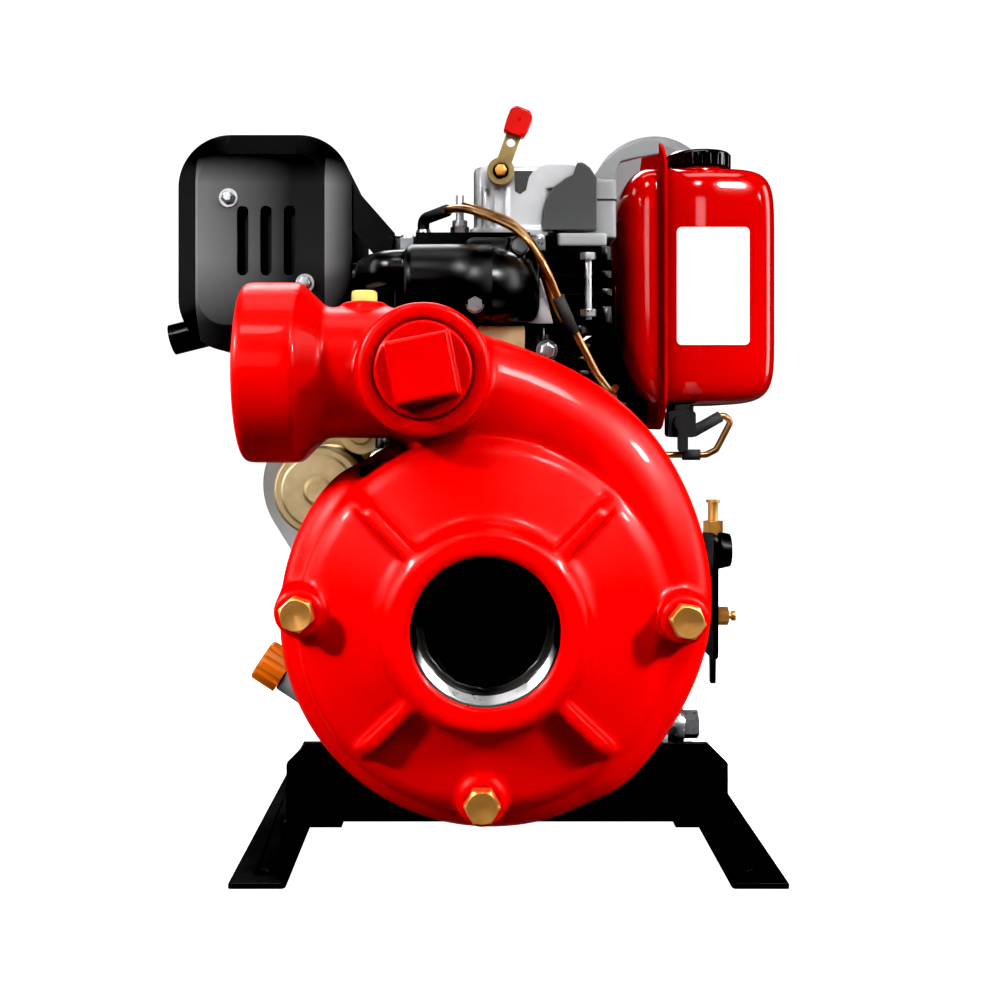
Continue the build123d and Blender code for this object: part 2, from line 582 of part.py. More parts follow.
def rocker_arms():
    """Two rocker arms on their shaft, which stands on two pedestals."""
    x, z = (CAM_X + VALVE_X) / 2, ARM_Z - 3.0
    shaft = rod_y(x, z, -110, -10, 4.5)
    arms = []
    for push_y, valve_y in zip(PUSHROD_YS, VALVE_YS):
        y0, y1 = min(push_y, valve_y) - 4, max(push_y, valve_y) + 4
        arm = rod_y(x, z, y0, y1, 7.5)
        arm += block(x, CAM_X + 4, push_y - 4, push_y + 4, ARM_Z, ARM_Z + 5)
        arm += block(VALVE_X - 4, x, valve_y - 4, valve_y + 4, ARM_Z, ARM_Z + 5)
        arms.append(arm - rod_y(x, z, y0 - 1, y1 + 1, 4.6))
    pedestals = []
    for y in (-66.0, -54.0):
        pedestal = block(x - 6, x + 6, y - 4, y + 4, HEAD_TOP_Z, z + 8)
        pedestals.append(pedestal)
    return together([shaft.fuse(*pedestals)] + arms)


def cylinder_barrel():
    """Finned barrel with its liner spigot."""
    x, y = SHAFT_X, CYLINDER_Y
    body = rod_z(x, y, CYLINDER_BASE_Z, DECK_Z, 56.0)
    levels = [CYLINDER_BASE_Z] + [CYLINDER_BASE_Z + 14 + 10 * i for i in range(7)]
    parts = []
    for z in levels:
        thickness = 8.0 if z == CYLINDER_BASE_Z else 3.0
        parts.append(block(x - 80, x + 80, y - 75, y + 75, z, z + thickness, 12, Axis.Z))
    parts.append(block(x - 78, x + 78, y - 75, y + 75, DECK_Z - 8, DECK_Z, 12, Axis.Z))
    parts.append(rod_z(x, y, 286, CYLINDER_BASE_Z + 1, 50.0))
    for sx, sy in STUD_SPOTS:
        parts.append(rod_z(sx, sy, CYLINDER_BASE_Z, DECK_Z, 9.0))
    holes = [rod_z(x, y, 285, DECK_Z + 1, BORE_R)]
    for sx, sy in STUD_SPOTS:
        holes.append(rod_z(sx, sy, CYLINDER_BASE_Z - 1, DECK_Z + 1, 5.3))
    for push_y in PUSHROD_YS:
        parts.append(rod_z(CAM_X, push_y, CYLINDER_BASE_Z, DECK_Z, 9.0))
        holes.append(rod_z(CAM_X, push_y, CYLINDER_BASE_Z - 1, DECK_Z + 1, 6.0))
    return body.fuse(*parts).cut(*holes)


def cylinder_head():
    """Cylinder head with cooling fins, the exhaust port and a shelf for the intake."""
    body = block(HEAD_X0, HEAD_X1, -137, 16, DECK_Z, HEAD_TOP_Z, 8, Axis.Z)
    holes = [block(STEP_X, HEAD_X1 + 1, -138, 17, STEP_Z, HEAD_TOP_Z + 1)]
    for i in range(4):
        z = DECK_Z + 12 + 13 * i
        holes.append(block(HEAD_X0 - 1, HEAD_X0 + 10, -110, -6, z, z + 8))
        holes.append(block(HEAD_X0 + 22, 20, 12, 17, z, z + 8))
        if z + 8 < STEP_Z:
            holes.append(block(HEAD_X1 - 14, HEAD_X1 + 1, -110, -6, z, z + 8))
            holes.append(block(31.5, HEAD_X1 + 1, -138, -122, z, z + 8))
    exhaust = rod_y(EXHAUST_PORT_X, EXHAUST_PORT_Z, -138, -90, 15.0)
    holes += [exhaust, rod((VALVE_X, VALVE_YS[0], DECK_Z + 7), (EXHAUST_PORT_X, -96, 424), 9.0)]
    for x, y in STUD_SPOTS:
        holes.append(rod_z(x, y, DECK_Z - 1, HEAD_TOP_Z + 1, 5.3))
        holes.append(rod_z(x, y, NUT_SEAT_Z, HEAD_TOP_Z + 1, 12.0))
    for y in PUSHROD_YS:
        holes.append(rod_z(CAM_X, y, DECK_Z - 1, HEAD_TOP_Z + 1, 6.0))
    for y in VALVE_YS:
        holes.append(rod_z(VALVE_X, y, DECK_Z - 1, DECK_Z + 9, 13.0))
        holes.append(rod_z(VALVE_X, y, DECK_Z, HEAD_TOP_Z + 1, 3.6))
    holes.append(rod_z(INJECTOR_X, CYLINDER_Y, DECK_Z - 1, HEAD_TOP_Z + 1, 9.0))
    for x, z in EXHAUST_STUDS:
        holes.append(rod_y(x, z, -138, -120, 3.1))
    return body.cut(*holes)


def head_nuts():
    """Four long studs with nuts that clamp head and barrel to the crankcase."""
    studs = []
    for x, y in STUD_SPOTS:
        stud = rod_z(x, y, 286, NUT_SEAT_Z + 12, 5.0)
        studs.append(stud + hexagon((x, y, NUT_SEAT_Z), (0, 0, 1), 16.0, 9.0))
    return together(studs)


def cover_bolts():
    bolts = []
    for x, z in cover_bolt_spots():
        bolts.append(bolt((x, CRANKCASE_FRONT_Y - 9, z), (0, -1, 0), 6.0, 9.0))
    return together(bolts)


ROCKER_X0, ROCKER_X1 = -24.0, 36.0
ROCKER_Y0, ROCKER_Y1 = -116.0, -4.0
LEVER_X, LEVER_Z = -4.0, 505.0


def rocker_cover():
    """Cast rocker cover with a domed top, a side roof and the lever boss."""
    z0, z1 = HEAD_TOP_Z, ROCKER_TOP_Z
    body = block(ROCKER_X0, ROCKER_X1, ROCKER_Y0, ROCKER_Y1, z0, z1)
    body = fillet(body.edges().filter_by(Axis.Z), 9)
    body = fillet(body.edges().group_by(Axis.Z)[-1], 7)
    roof = block(ROCKER_X1 - 14, 57.4, ROCKER_Y0, -66, z1 - 19, z1, 8, Axis.Y)
    ribs = [block(x, x + 2.4, ROCKER_Y0 - 2, ROCKER_Y0 + 2, z0 + 4, z0 + 35) for x in (-17, -9, -1)]
    flange = block(ROCKER_X0 - 3, ROCKER_X1, ROCKER_Y0 - 2, ROCKER_Y1 + 2, z0, z0 + 6, 6, Axis.Z)
    boss = rod_y(LEVER_X, LEVER_Z, ROCKER_Y0 - 5, ROCKER_Y0 + 6, 9.0)
    fitting = rod_z(24, -40, z1 - 3, z1 + 9, 6.0) + hexagon((24, -40, z1), (0, 0, 1), 15, 5)
    cavity = block(ROCKER_X0 + 4, ROCKER_X1 - 4, ROCKER_Y0 + 4, ROCKER_Y1 - 4, z0 - 1, z1 - 4, 5,
                   Axis.Z)
    spindle_hole = rod_y(LEVER_X, LEVER_Z, ROCKER_Y0 - 6, ROCKER_Y0 + 8, 4.0 + RUNNING_GAP)
    body = body.fuse(roof, flange, boss, fitting, *ribs)
    return body.cut(cavity, spindle_hole)


def decompression_lever():
    """Plate lever on its spindle, leaning right, with a moulded tip."""
    lean = Pos(LEVER_X, 0, LEVER_Z) * Rot(0, 20, 0)
    y = ROCKER_Y0 - 5
    body = rod_y(LEVER_X, LEVER_Z, y - 8, ROCKER_Y0 + 3.5, 4.0)
    body += ring_y(LEVER_X, LEVER_Z, y - 3, y, 10.0, 3.0)
    arm = rod_y(0, 0, y - 6, y - 3, 10.0) + block(-5.5, 5.5, y - 6, y - 3, 0, 34)
    arm -= rod_y(0, 22, y - 7, y - 2, 3.2)
    tip = block(-7.5, 7.5, y - 9, y, 30, 47)
    tip = fillet(tip.edges(), 3.0)
    return body + lean * (arm + tip)


# ------------------------------------------------- flywheel, fan and starting
FAN_X0, FAN_X1, FAN_TOP_Z = -95.0, 65.0, 440.0
FAN_Y0, FAN_Y1 = 62.0, 140.0
SHEET = 3.0


def flywheel():
    """Flywheel with fan blades and the starter cup."""
    body = turned([(15.02, 64), (28, 64), (28, 80), (118, 80), (118, 108), (96, 108), (96, 92),
                   (50, 92), (50, 134), (46, 134), (46, 94), (26, 94), (26, 117.9), (15.02, 117.9)])
    blade = block(62, 117, 106, 128, -2, 2) + block(62, 97, 91, 107, -2, 2)
    blades = [Pos(SHAFT_X, 0, SHAFT_Z) * Rot(0, 18 * i, 0) * blade for i in range(20)]
    return body.fuse(*blades)


def fan_outline(inset):
    shaft = Pos(SHAFT_X, SHAFT_Z) * Circle(140 - inset)
    starter = Pos(STARTER_X, STARTER_Z) * Circle(62 - inset)
    return make_hull(shaft.edges() + starter.edges())


def fan_housing():
    """Cast fan housing: a scroll shell with the duct that feeds the cylinder fins."""
    def layer(inset, y0, y1):
        return Pos(0, y1, 0) * Rot(90, 0, 0) * extrude(fan_outline(inset), y1 - y0)

    body = layer(0.0, FAN_Y0, FAN_Y1)
    duct = block(FAN_X0, FAN_X1, 24, FAN_Y1, 303, FAN_TOP_Z, 10, Axis.Y)
    inner = layer(SHEET, FAN_Y0 + SHEET, FAN_Y1 - SHEET)
    duct_in = block(FAN_X0 + SHEET, FAN_X1 - SHEET, 23, FAN_Y1 - SHEET,
                    303 + SHEET, FAN_TOP_Z - SHEET, 7, Axis.Y)
    throat = block(FAN_X0 + SHEET, FAN_X1 - SHEET, FAN_Y0 + SHEET, FAN_Y1 - SHEET, 290, 320)
    holes = [
        inner, duct_in, throat,
        rod_y(SHAFT_X, SHAFT_Z, FAN_Y0 - 1, FAN_Y0 + 4, 40.0),
        rod_y(SHAFT_X, SHAFT_Z, FAN_Y1 - 4, FAN_Y1 + 1, 82.0),
        rod_y(STARTER_X, STARTER_Z, FAN_Y0 - 1, FAN_Y0 + 4, 18.0)]
    body = (body + duct).cut(*holes)
    return body + ring_y(SHAFT_X, SHAFT_Z, CRANKCASE_BACK_Y, FAN_Y0 + 1, 60.0, 41.0)


PULLEY_R = 45.0
PULL_X, PULL_Y = SHAFT_X - PULLEY_R, 154.0


def recoil_cover():
    """Pressed recoil cover with its pulley pin and the rope guide."""
    y0, y1 = FAN_Y1, FAN_Y1 + 42
    body = turned([(0, y1), (70, y1), (88, y1 - 8), (95, y1 - 20), (95, y0 + 3), (104, y0 + 3),
                   (104, y0), (92, y0), (92, y1 - 21), (86, y1 - 10), (69, y1 - 3), (0, y1 - 3)])
    body += rod_y(SHAFT_X, SHAFT_Z, y0 + 4, y1 - 2, 8.0)
    guide = rod_z(PULL_X, PULL_Y, 276, 305, 9.0)
    body += guide
    slots = []
    for i in range(10):
        slot = block(40, 66, y1 - 5, y1 + 1, -4, 4)
        slots.append(Pos(SHAFT_X, 0, SHAFT_Z) * Rot(0, 36 * i + 18, 0) * slot)
    return body.cut(rod_z(PULL_X, PULL_Y, 262, 306, 3.2), *slots)


def recoil_pulley():
    y0 = FAN_Y1 + 5
    return turned([(8.06, y0), (PULLEY_R, y0), (PULLEY_R, y0 + 3), (PULLEY_R - 8, y0 + 6),
                   (PULLEY_R - 8, y0 + 12), (PULLEY_R, y0 + 15), (PULLEY_R, y0 + 18), (8.06, y0 + 18)])


def pull_handle():
    """Moulded grip on the end of the starting rope."""
    z0 = 305.0
    neck = rod_z(PULL_X, PULL_Y, z0, z0 + 18, 7.0, 9.0)
    grip = block(PULL_X - 42, PULL_X + 42, PULL_Y - 10, PULL_Y + 10, z0 + 14, z0 + 36)
    return neck + fillet(grip.edges(), 7)


def starter_motor():
    x, z = STARTER_X, STARTER_Z
    body = turned([(0, -56), (9, -56), (12, -52), (28, -52), (30, -50), (34, -50), (36, -47),
                   (36, 54), (0, 54)], x, z)
    motor_edge = (Pos(x, z) * Circle(42)).edges()
    plate = make_hull(motor_edge + (Pos(SOLENOID_X, SOLENOID_Z) * Circle(22)).edges())
    plate = Pos(0, FAN_Y0, 0) * Rot(90, 0, 0) * extrude(plate, 8)
    return body + plate


def starter_solenoid():
    x, z = SOLENOID_X, SOLENOID_Z
    body = turned([(0, -24), (8, -24), (10, -18), (17, -18), (18.5, -15), (18.5, 54), (0, 54)], x, z)
    for dx in (-8, 8):
        body += rod_y(x + dx, z, -30, -17, 3.0)
    return body


# ---------------------------------------------------------------- the exhaust
MANIFOLD_Y, MANIFOLD_Z = -166.0, 429.0
EXHAUST_PORT_X, EXHAUST_PORT_Z = -5.0, 419.0
EXHAUST_STUDS = [(-23.0, 401.0), (10.0, 446.0)]
SHIELD_X0, SHIELD_X1 = -248.0, -116.5
SHIELD_Z0, SHIELD_Z1 = 373.0, 537.0
INLET_Y = -88.0                            # where the manifold enters the muffler
SHIELD_Y0, SHIELD_Y1 = -120.0, 60.0
SHIELD_SCREWS = [(-206.5, 486.0), (-149.5, 422.5)]
TAIL_Y, TAIL_Z = -60.0, 388.0


def exhaust_manifold():
    """Cast exhaust elbow from the head to the muffler inlet."""
    y, z, port_x, port_z = MANIFOLD_Y, MANIFOLD_Z, EXHAUST_PORT_X, EXHAUST_PORT_Z
    elbow = pipe([(port_x - 30, y, port_z), (port_x, y, port_z), (port_x, -137.5, port_z)], 26.0, 27.0)
    flare = rod((-70, y, z - 1), (port_x - 28, y, port_z), 16.0, 26.0)
    inlet = (SHIELD_X1 - 7, INLET_Y, z)
    tube = pipe([(-69, y, z), (-84, y, z), (-98.5, -140, z), (-98.5, INLET_Y, z), inlet], 12.5, 14.0)
    collar = rod((-72, y, z), (-69, y, z), 14.5)
    flange = block(-34, 24, -145, -137, 391, 454, 12, Axis.Y)
    (x1, z1), (x2, z2) = EXHAUST_STUDS
    parts = [flare, tube, collar, flange, rod_y(x1, z1, -184, -140, 8.5), rod_y(x2, z2, -152, -137, 8.5)]
    body = elbow.fuse(*parts)
    holes = [rod_y(x1, z1, -200, -184, 8.5), rod_y(x2, z2, -180, -152, 8.5),
             rod_y(x1, z1, -185, -136, 3.4), rod_y(x2, z2, -153, -136, 3.4),
             rod_y(port_x, port_z, -160, -136, 15.0)]
    return body.cut(*holes)


def exhaust_bolts():
    (x1, z1), (x2, z2) = EXHAUST_STUDS
    return together([
        bolt((x1, -184, z1), (0, -1, 0), 6.0, 60.0),
        bolt((x2, -152, z2), (0, -1, 0), 6.0, 28.0)])


def muffler_box(inset, y0, y1, radius):
    return block(SHIELD_X0 + inset, SHIELD_X1 - inset, y0, y1, SHIELD_Z0 + inset, SHIELD_Z1 - inset,
                 radius, Axis.Y)


def muffler_body():
    """Muffler drum inside its heat shield, with the tail pipe and two studs."""
    body = muffler_box(7.0, SHIELD_Y0 + 16, SHIELD_Y1 - 6, 27.0)
    body = fillet(body.edges().group_by(Axis.Y)[0] + body.edges().group_by(Axis.Y)[-1], 5)
    tail = rod((SHIELD_X0 + 18, TAIL_Y, TAIL_Z + 4), (-262, TAIL_Y, TAIL_Z - 4), 12.0)
    body += tail
    body -= rod((SHIELD_X0 - 2, TAIL_Y, TAIL_Z + 0.6), (-263, TAIL_Y, TAIL_Z - 4.4), 10.0)
    for x, z in SHIELD_SCREWS:
        body += rod_y(x, z, SHIELD_Y0 + 2, SHIELD_Y0 + 18, 4.5)
    return body


def muffler_shield():
    """Pressed heat shield: bevelled front with three slots, open at the back."""
    y0, sheet, bevel = SHIELD_Y0, 2.0, 18.5
    shell = muffler_box(0.0, y0, SHIELD_Y1, 40.0)
    shell = chamfer(shell.edges().group_by(Axis.Y)[0], bevel)
    inner = muffler_box(sheet, y0 + sheet, SHIELD_Y1 + 1, 40.0 - sheet)
    inner = chamfer(inner.edges().group_by(Axis.Y)[0], bevel - sheet * 0.6)
    slots = []
    for x in (-196.0, -178.6, -161.0):
        slots.append(block(x - 4.2, x + 4.2, y0 - 1, y0 + 4, 428.5, 480, 4.1, Axis.Y))
    tail = block(SHIELD_X0 - 1, SHIELD_X0 + 21, TAIL_Y - 16, TAIL_Y + 16, TAIL_Z - 18, TAIL_Z + 16)
    side = block(SHIELD_X1 - 4, SHIELD_X1 + 1, INLET_Y - 14, INLET_Y + 14, MANIFOLD_Z - 14,
                 MANIFOLD_Z + 14, 6, Axis.X)
    return shell.cut(inner, tail, side, *slots)


def muffler_stay():
    """Steel gusset that carries the muffler from the head."""
    x0, x1 = SHIELD_X1, HEAD_X0
    plate = make_face(Polyline((x0, 500), (x1, 463), (x1, 447), (-100, 447), (x0, 466), close=True))
    plate = Pos(0, -94, 0) * Rot(90, 0, 0) * extrude(plate, 4)
    return plate.fuse(block(x0, x0 + 3, -98, -70, 466, 497), block(x1 - 3, x1, -128, -94, 434, 456))


# ------------------------------------------------------------- fuel and air
TANK_SEAM_X = 126.0
TANK_Y0, TANK_Y1 = -62.0, 112.0
CAP_X, CAP_Y, CAP_Z = 160.0, -22.0, 526.0
COCK_X, COCK_Y, COCK_Z = 142.0, -40.0, 319.0
CLEANER_X, CLEANER_Z, CLEANER_R = 144.0, 529.0, 58.0


def fuel_tank():
    """Two pressed halves joined by an upright seam flange, hollow inside."""
    def half(x0, x1, z0, z1, y_in, r, seam_side):
        shell = block(x0, x1, TANK_Y0 + y_in, TANK_Y1 - y_in, z0, z1)
        shell = fillet(shell.edges().filter_by(Axis.X), r)
        return fillet(shell.edges().group_by(Axis.X)[seam_side], r * 0.6)

    right = half(TANK_SEAM_X, 219, 333, 524, 0, 20, -1)
    left = half(90, TANK_SEAM_X, 333, 523, 2, 24, 0)
    outline = Polyline((-74, 336), (-44, 313), (98, 313), (124, 340), (124, 510), (96, 534),
                       (58, 560), (36, 560), (-52, 541), (-74, 522), close=True)
    outline = make_face(outline)
    outline = fillet(outline.vertices(), 11)
    seam = Plane.YZ.offset(TANK_SEAM_X - 1.2) * extrude(outline, 2.4)
    neck = rod_z(CAP_X, CAP_Y, 521, CAP_Z + 6, 20.0)
    tank = right.fuse(left, seam, neck)
    inner_right = half(TANK_SEAM_X + 1.2, 216.5, 335.5, 521.5, 2.5, 17.5, -1)
    inner_left = half(92.5, TANK_SEAM_X + 2, 335.5, 520.5, 4.5, 21.5, 0)
    return tank.cut(inner_right, inner_left, rod_z(CAP_X, CAP_Y, 515, CAP_Z + 7, 17.5),
                    rod_z(COCK_X, COCK_Y, 330, 338, 5.0))


def fuel_cap():
    """Filler cap with a ribbed edge; it turns on the neck."""
    cap = rod_z(CAP_X, CAP_Y, CAP_Z, CAP_Z + 12, 26.0)
    cap = chamfer(cap.edges().filter_by(GeomType.CIRCLE).sort_by(Axis.Z)[-1], 2.0)
    cap -= rod_z(CAP_X, CAP_Y, CAP_Z - 1, CAP_Z + 6.05, 20.0 + RUNNING_GAP)
    grooves = []
    for i in range(24):
        a = math.radians(15 * i)
        x, y = CAP_X + 27.2 * math.cos(a), CAP_Y + 27.2 * math.sin(a)
        grooves.append(rod_z(x, y, CAP_Z - 1, CAP_Z + 9, 2.2))
    return cap.cut(*grooves)


def fuel_cock():
    body = block(COCK_X - 11, COCK_X + 11, COCK_Y - 11, COCK_Y + 10, COCK_Z - 12, COCK_Z + 9, 3, Axis.Y)
    body += rod_z(COCK_X, COCK_Y, COCK_Z + 8, 336, 5.0)
    body += hexagon((COCK_X, COCK_Y, COCK_Z + 8), (0, 0, 1), 19, 6)
    body += rod((COCK_X + 9, COCK_Y - 6, COCK_Z - 8), (COCK_X + 16, COCK_Y - 6, COCK_Z - 4), 4.5)
    return body - rod_y(COCK_X, COCK_Z, COCK_Y - 12, COCK_Y - 4, 4.0 + RUNNING_GAP)


def fuel_cock_lever():
    y = COCK_Y - 11
    body = rod_y(COCK_X, COCK_Z, y - 5, y, 7.0) + rod_y(COCK_X, COCK_Z, y - 1, y + 6.5, 4.0)
    handle = block(COCK_X - 4, COCK_X + 4, y - 5, y - 1, COCK_Z - 24, COCK_Z)
    handle = fillet(handle.edges().filter_by(Axis.Y).group_by(Axis.Z)[0], 3.5)
    return body + handle


def tank_bracket():
    """Folded channel between the fan duct and the tank."""
    y0, y1, z0, z1 = 66.0, 90.0, 360.0, 410.0
    body = block(FAN_X1, 90, y0, y1, z0, z1) - block(FAN_X1 + 3, 87, y0 - 1, y1 + 1, z0 - 1, z1 - 3)
    return body


def intake_elbow():
    """Cast intake: flange on the head shelf, riser, and pipe to the air cleaner."""
    flange = block(STEP_X + 0.4, 74, -135, -62, STEP_Z, STEP_Z + 10, 3, Axis.Z)
    port = block(37.4, 60, -112, -66, STEP_Z + 8, 481)
    arch = rod_y(48.7, 481, -112, -66, 11.3)
    riser = block(58, 83, -116, -64, STEP_Z + 9, 501, 4, Axis.Z)
    x, y = CLEANER_X - CLEANER_R + 3, 157.0
    tube = pipe([(71, -70, 498), (71, 20, 503), (71, y, CLEANER_Z), (x, y, CLEANER_Z)], 12.5, 12.6)
    return flange.fuse(port, arch, riser, tube)


def air_cleaner():
    """Canister behind the tank, with a rolled rim and a flat lid."""
    x, z, r = CLEANER_X, CLEANER_Z, CLEANER_R
    y0, y1 = TANK_Y1 + 14.0, TANK_Y1 + 84.0
    return turned([(0, y0), (r - 10, y0), (r - 4, y0 + 3), (r, y0 + 8), (r, y0 + 13), (r - 3, y0 + 16),
                   (r - 3, y1 - 10), (r, y1 - 8), (r, y1 - 4), (r - 6, y1), (0, y1)], x, z)


def injector():
    """Injector with its stud and the union for the injection pipe."""
    x, y, z = INJECTOR_X, CYLINDER_Y, HEAD_TOP_Z
    body = rod_z(x, y, DECK_Z + 4, z, 8.9) + rod_z(x, y, z, z + 20, 6.0)
    body += hexagon((x, y, z + 8), (0, 0, 1), 13, 7) + rod_z(x, y, z + 20, z + 40, 3.2)
    body += block(x - 34, x + 4, y - 24, y + 2, z, z + 5, 2, Axis.Z)
    return body + rod_z(x - 28, y - 18, z + 4, z + 10, 5.5)


def injection_pump():
    """Single-plunger injection pump on the right shoulder of the crankcase."""
    x, y = PUMP_X, PUMP_Y
    base = CYLINDER_BASE_Z
    body = block(x - 17, x + 16, y - 17, y + 17, base, base + 16, 4, Axis.Z)
    body += rod_z(x, y, base + 15, base + 27, 12.0)
    return body + hexagon((x, y, base + 26), (0, 0, 1), 17, 9)


def injection_pipe():
    """High-pressure pipe from the pump, in front of the head, to the injector."""
    x, y, z = INJECTOR_X - 28, CYLINDER_Y - 18, HEAD_TOP_Z + 10
    return pipe([(x, y, z), (x, y, z + 9), (-33, -116, z + 12), (-5, -136, z - 1), (13, -163, z - 15),
                 (27, -167, z - 39), (38, -158, z - 64), (50, -152, z - 86), (66, -147, z - 116),
                 (76, -140, z - 127), (PUMP_X, PUMP_Y - 14, z - 122), (PUMP_X, PUMP_Y, z - 125),
                 (PUMP_X, PUMP_Y, CYLINDER_BASE_Z + 35)], 3.0, 4.0)


def fuel_pipe():
    """Low-pressure pipe from the fuel cock, looping down to the pump."""
    y = COCK_Y - 6
    inlet = Vector(PUMP_X + 16, PUMP_Y + 8, CYLINDER_BASE_Z + 7)
    return pipe([(COCK_X + 16, y, COCK_Z - 4), (COCK_X + 33.5, y, COCK_Z + 6), (182, y, 320),
                 (170, y, 297), (162, y, 293), (125, y, 293), tuple(inlet + Vector(6, 0, 0)),
                 tuple(inlet)], 2.5, 4.0)


# ----------------------------------------------------------- controls and oil
CONTROL_X, CONTROL_Y = 172.0, -20.0
CONTROL_FOOT_X = 112.0      # outer wall of the crankcase, where the bracket is bolted
CONTROL_TOP_Z = 230.0
LEVER_PIVOT_Z = 213.0
LEVER_PIN_Y = CONTROL_Y + 12
LEVER_PIN_R = 5.0
SIDE_SCREW_Z = 162.0


def control_plate():
    """Bracket that carries the speed lever off the crankcase."""
    foot = block(CONTROL_FOOT_X, CONTROL_FOOT_X + 4, CONTROL_Y - 30, CONTROL_Y + 30, 140, 200)
    arm = block(CONTROL_FOOT_X, CONTROL_X, CONTROL_Y - 4, CONTROL_Y, 150, 198)
    plate = block(CONTROL_X - 4, CONTROL_X, CONTROL_Y - 26, CONTROL_Y + 26, 128, CONTROL_TOP_Z, 8,
                  Axis.X)
    pin_hole = rod((CONTROL_X - 6, LEVER_PIN_Y, LEVER_PIVOT_Z),
                   (CONTROL_X + 1, LEVER_PIN_Y, LEVER_PIVOT_Z), LEVER_PIN_R + RUNNING_GAP)
    return foot.fuse(arm, plate) - pin_hole


def speed_lever():
    """Long tapered speed lever with its round knob; it swings about its pivot pin."""
    x, y, z = CONTROL_X, LEVER_PIN_Y, LEVER_PIVOT_Z
    outline = make_face(Polyline((y - 9, z + 16), (y + 9, z + 16), (y + 8, z - 48), (y + 4, z - 110),
                                 (y - 4, z - 110), (y - 8, z - 48), close=True))
    blade = Pos(x, 0, 0) * (Plane.YZ * extrude(outline, 4.0))
    pin = rod((x - 5, y, z), (x + 10, y, z), LEVER_PIN_R)
    knob = rod((x + 7, y, z), (x + 16, y, z), 15.5, 13.5)
    return blade + pin + knob


def speed_screws():
    """Speed limit screws with lock nuts on the control plate."""
    x, y, top = CONTROL_X - 2, CONTROL_Y - 12, CONTROL_TOP_Z
    upright = hexagon((x, y, top), (0, 0, 1), 14, 9) + rod_z(x, y, top, top + 26, 4.0)
    upright += rod_z(x, y, top + 24, top + 26, 5.5)
    a, z = CONTROL_X, SIDE_SCREW_Z
    side = hexagon((a, y, z), (1, 0, 0), 13, 10)
    side += rod((a, y, z), (a + 14, y, z), 2.5) + rod((a + 13, y, z), (a + 16, y, z), 4.0)
    return together([upright, side])


def oil_filler_cap():
    """Orange dipstick cap on the slanted oil neck."""
    a, b = Vector(*NECK_START), Vector(*NECK_END)
    along = (b - a).normalized()
    cap = rod(tuple(b), tuple(b + along * 22), 17.0)
    cap = fillet(cap.edges().filter_by(GeomType.CIRCLE).sort_by(Axis.X)[0], 3.0)
    grip = []
    for i in range(10):
        turn = Plane(origin=tuple(b), z_dir=along) * Rot(0, 0, 36 * i)
        grip.append(turn * Pos(18.4, 0, 11) * Cylinder(3.0, 24))
    stick = rod(tuple(b - along * 40), tuple(b + along * 1), 7.0)
    return cap.cut(*grip) + stick


def oil_drain_plug():
    plug = rod((124, OIL_Y, 76), (136, OIL_Y, 76), 12.0) + rod((136, OIL_Y, 76), (144, OIL_Y, 76), 13.5)
    return plug + hexagon((144, OIL_Y, 76), (1, 0, 0), 20, 12)


NODES = [
    volute_casing, outlet_plug, brass_plugs, impeller, impeller_nut, casing_gasket, rear_adapter,
    casing_bolts, adapter_bolts, seal_seat, seal_head, base_rails, engine_tray, rubber_mounts,
    frame_bolts, crankcase, timing_cover, cover_bolts, crankshaft, main_bearings, rod_big_end,
    connecting_rod, piston, camshaft, valve_train, rocker_arms, cylinder_barrel, cylinder_head,
    head_nuts, rocker_cover, decompression_lever, flywheel, fan_housing, recoil_cover,
    recoil_pulley, pull_handle, starter_motor, starter_solenoid, exhaust_manifold, exhaust_bolts,
    muffler_body, muffler_shield, muffler_stay, fuel_tank, fuel_cap, fuel_cock, fuel_cock_lever,
    tank_bracket, intake_elbow, air_cleaner, injector, injection_pump, injection_pipe, fuel_pipe,
    control_plate, speed_lever, speed_screws, oil_filler_cap, oil_drain_plug]

os.makedirs("parts", exist_ok=True)
for node in NODES:
    export_step(node(), f"parts/{node.__name__}.step")
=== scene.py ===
"""Looks for the portable fire pump: castings, sheet metal, fittings, materials and studio.

The frame's own axes are used: +X right, +Y back along the shaft, +Z up. Materials, lights and the
camera are in metres. The vertices of pieces are in millimetres, and piece() turns them into metres.
"""
import json
import math

import bmesh
import bpy
from mathutils import Matrix, Vector


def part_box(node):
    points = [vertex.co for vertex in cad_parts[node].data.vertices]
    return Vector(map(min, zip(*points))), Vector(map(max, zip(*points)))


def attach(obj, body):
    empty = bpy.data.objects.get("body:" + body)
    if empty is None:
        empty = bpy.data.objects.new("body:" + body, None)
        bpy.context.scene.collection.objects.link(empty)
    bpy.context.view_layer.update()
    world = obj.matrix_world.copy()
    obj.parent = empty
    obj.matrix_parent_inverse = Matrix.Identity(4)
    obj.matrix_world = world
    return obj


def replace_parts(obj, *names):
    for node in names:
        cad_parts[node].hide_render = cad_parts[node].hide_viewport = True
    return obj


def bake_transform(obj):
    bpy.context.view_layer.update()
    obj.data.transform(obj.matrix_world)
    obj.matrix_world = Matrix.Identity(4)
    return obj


MM = 0.001
RIGHT = Vector((1, 0, 0))
BACK = Vector((0, 1, 0))
UP = Vector((0, 0, 1))
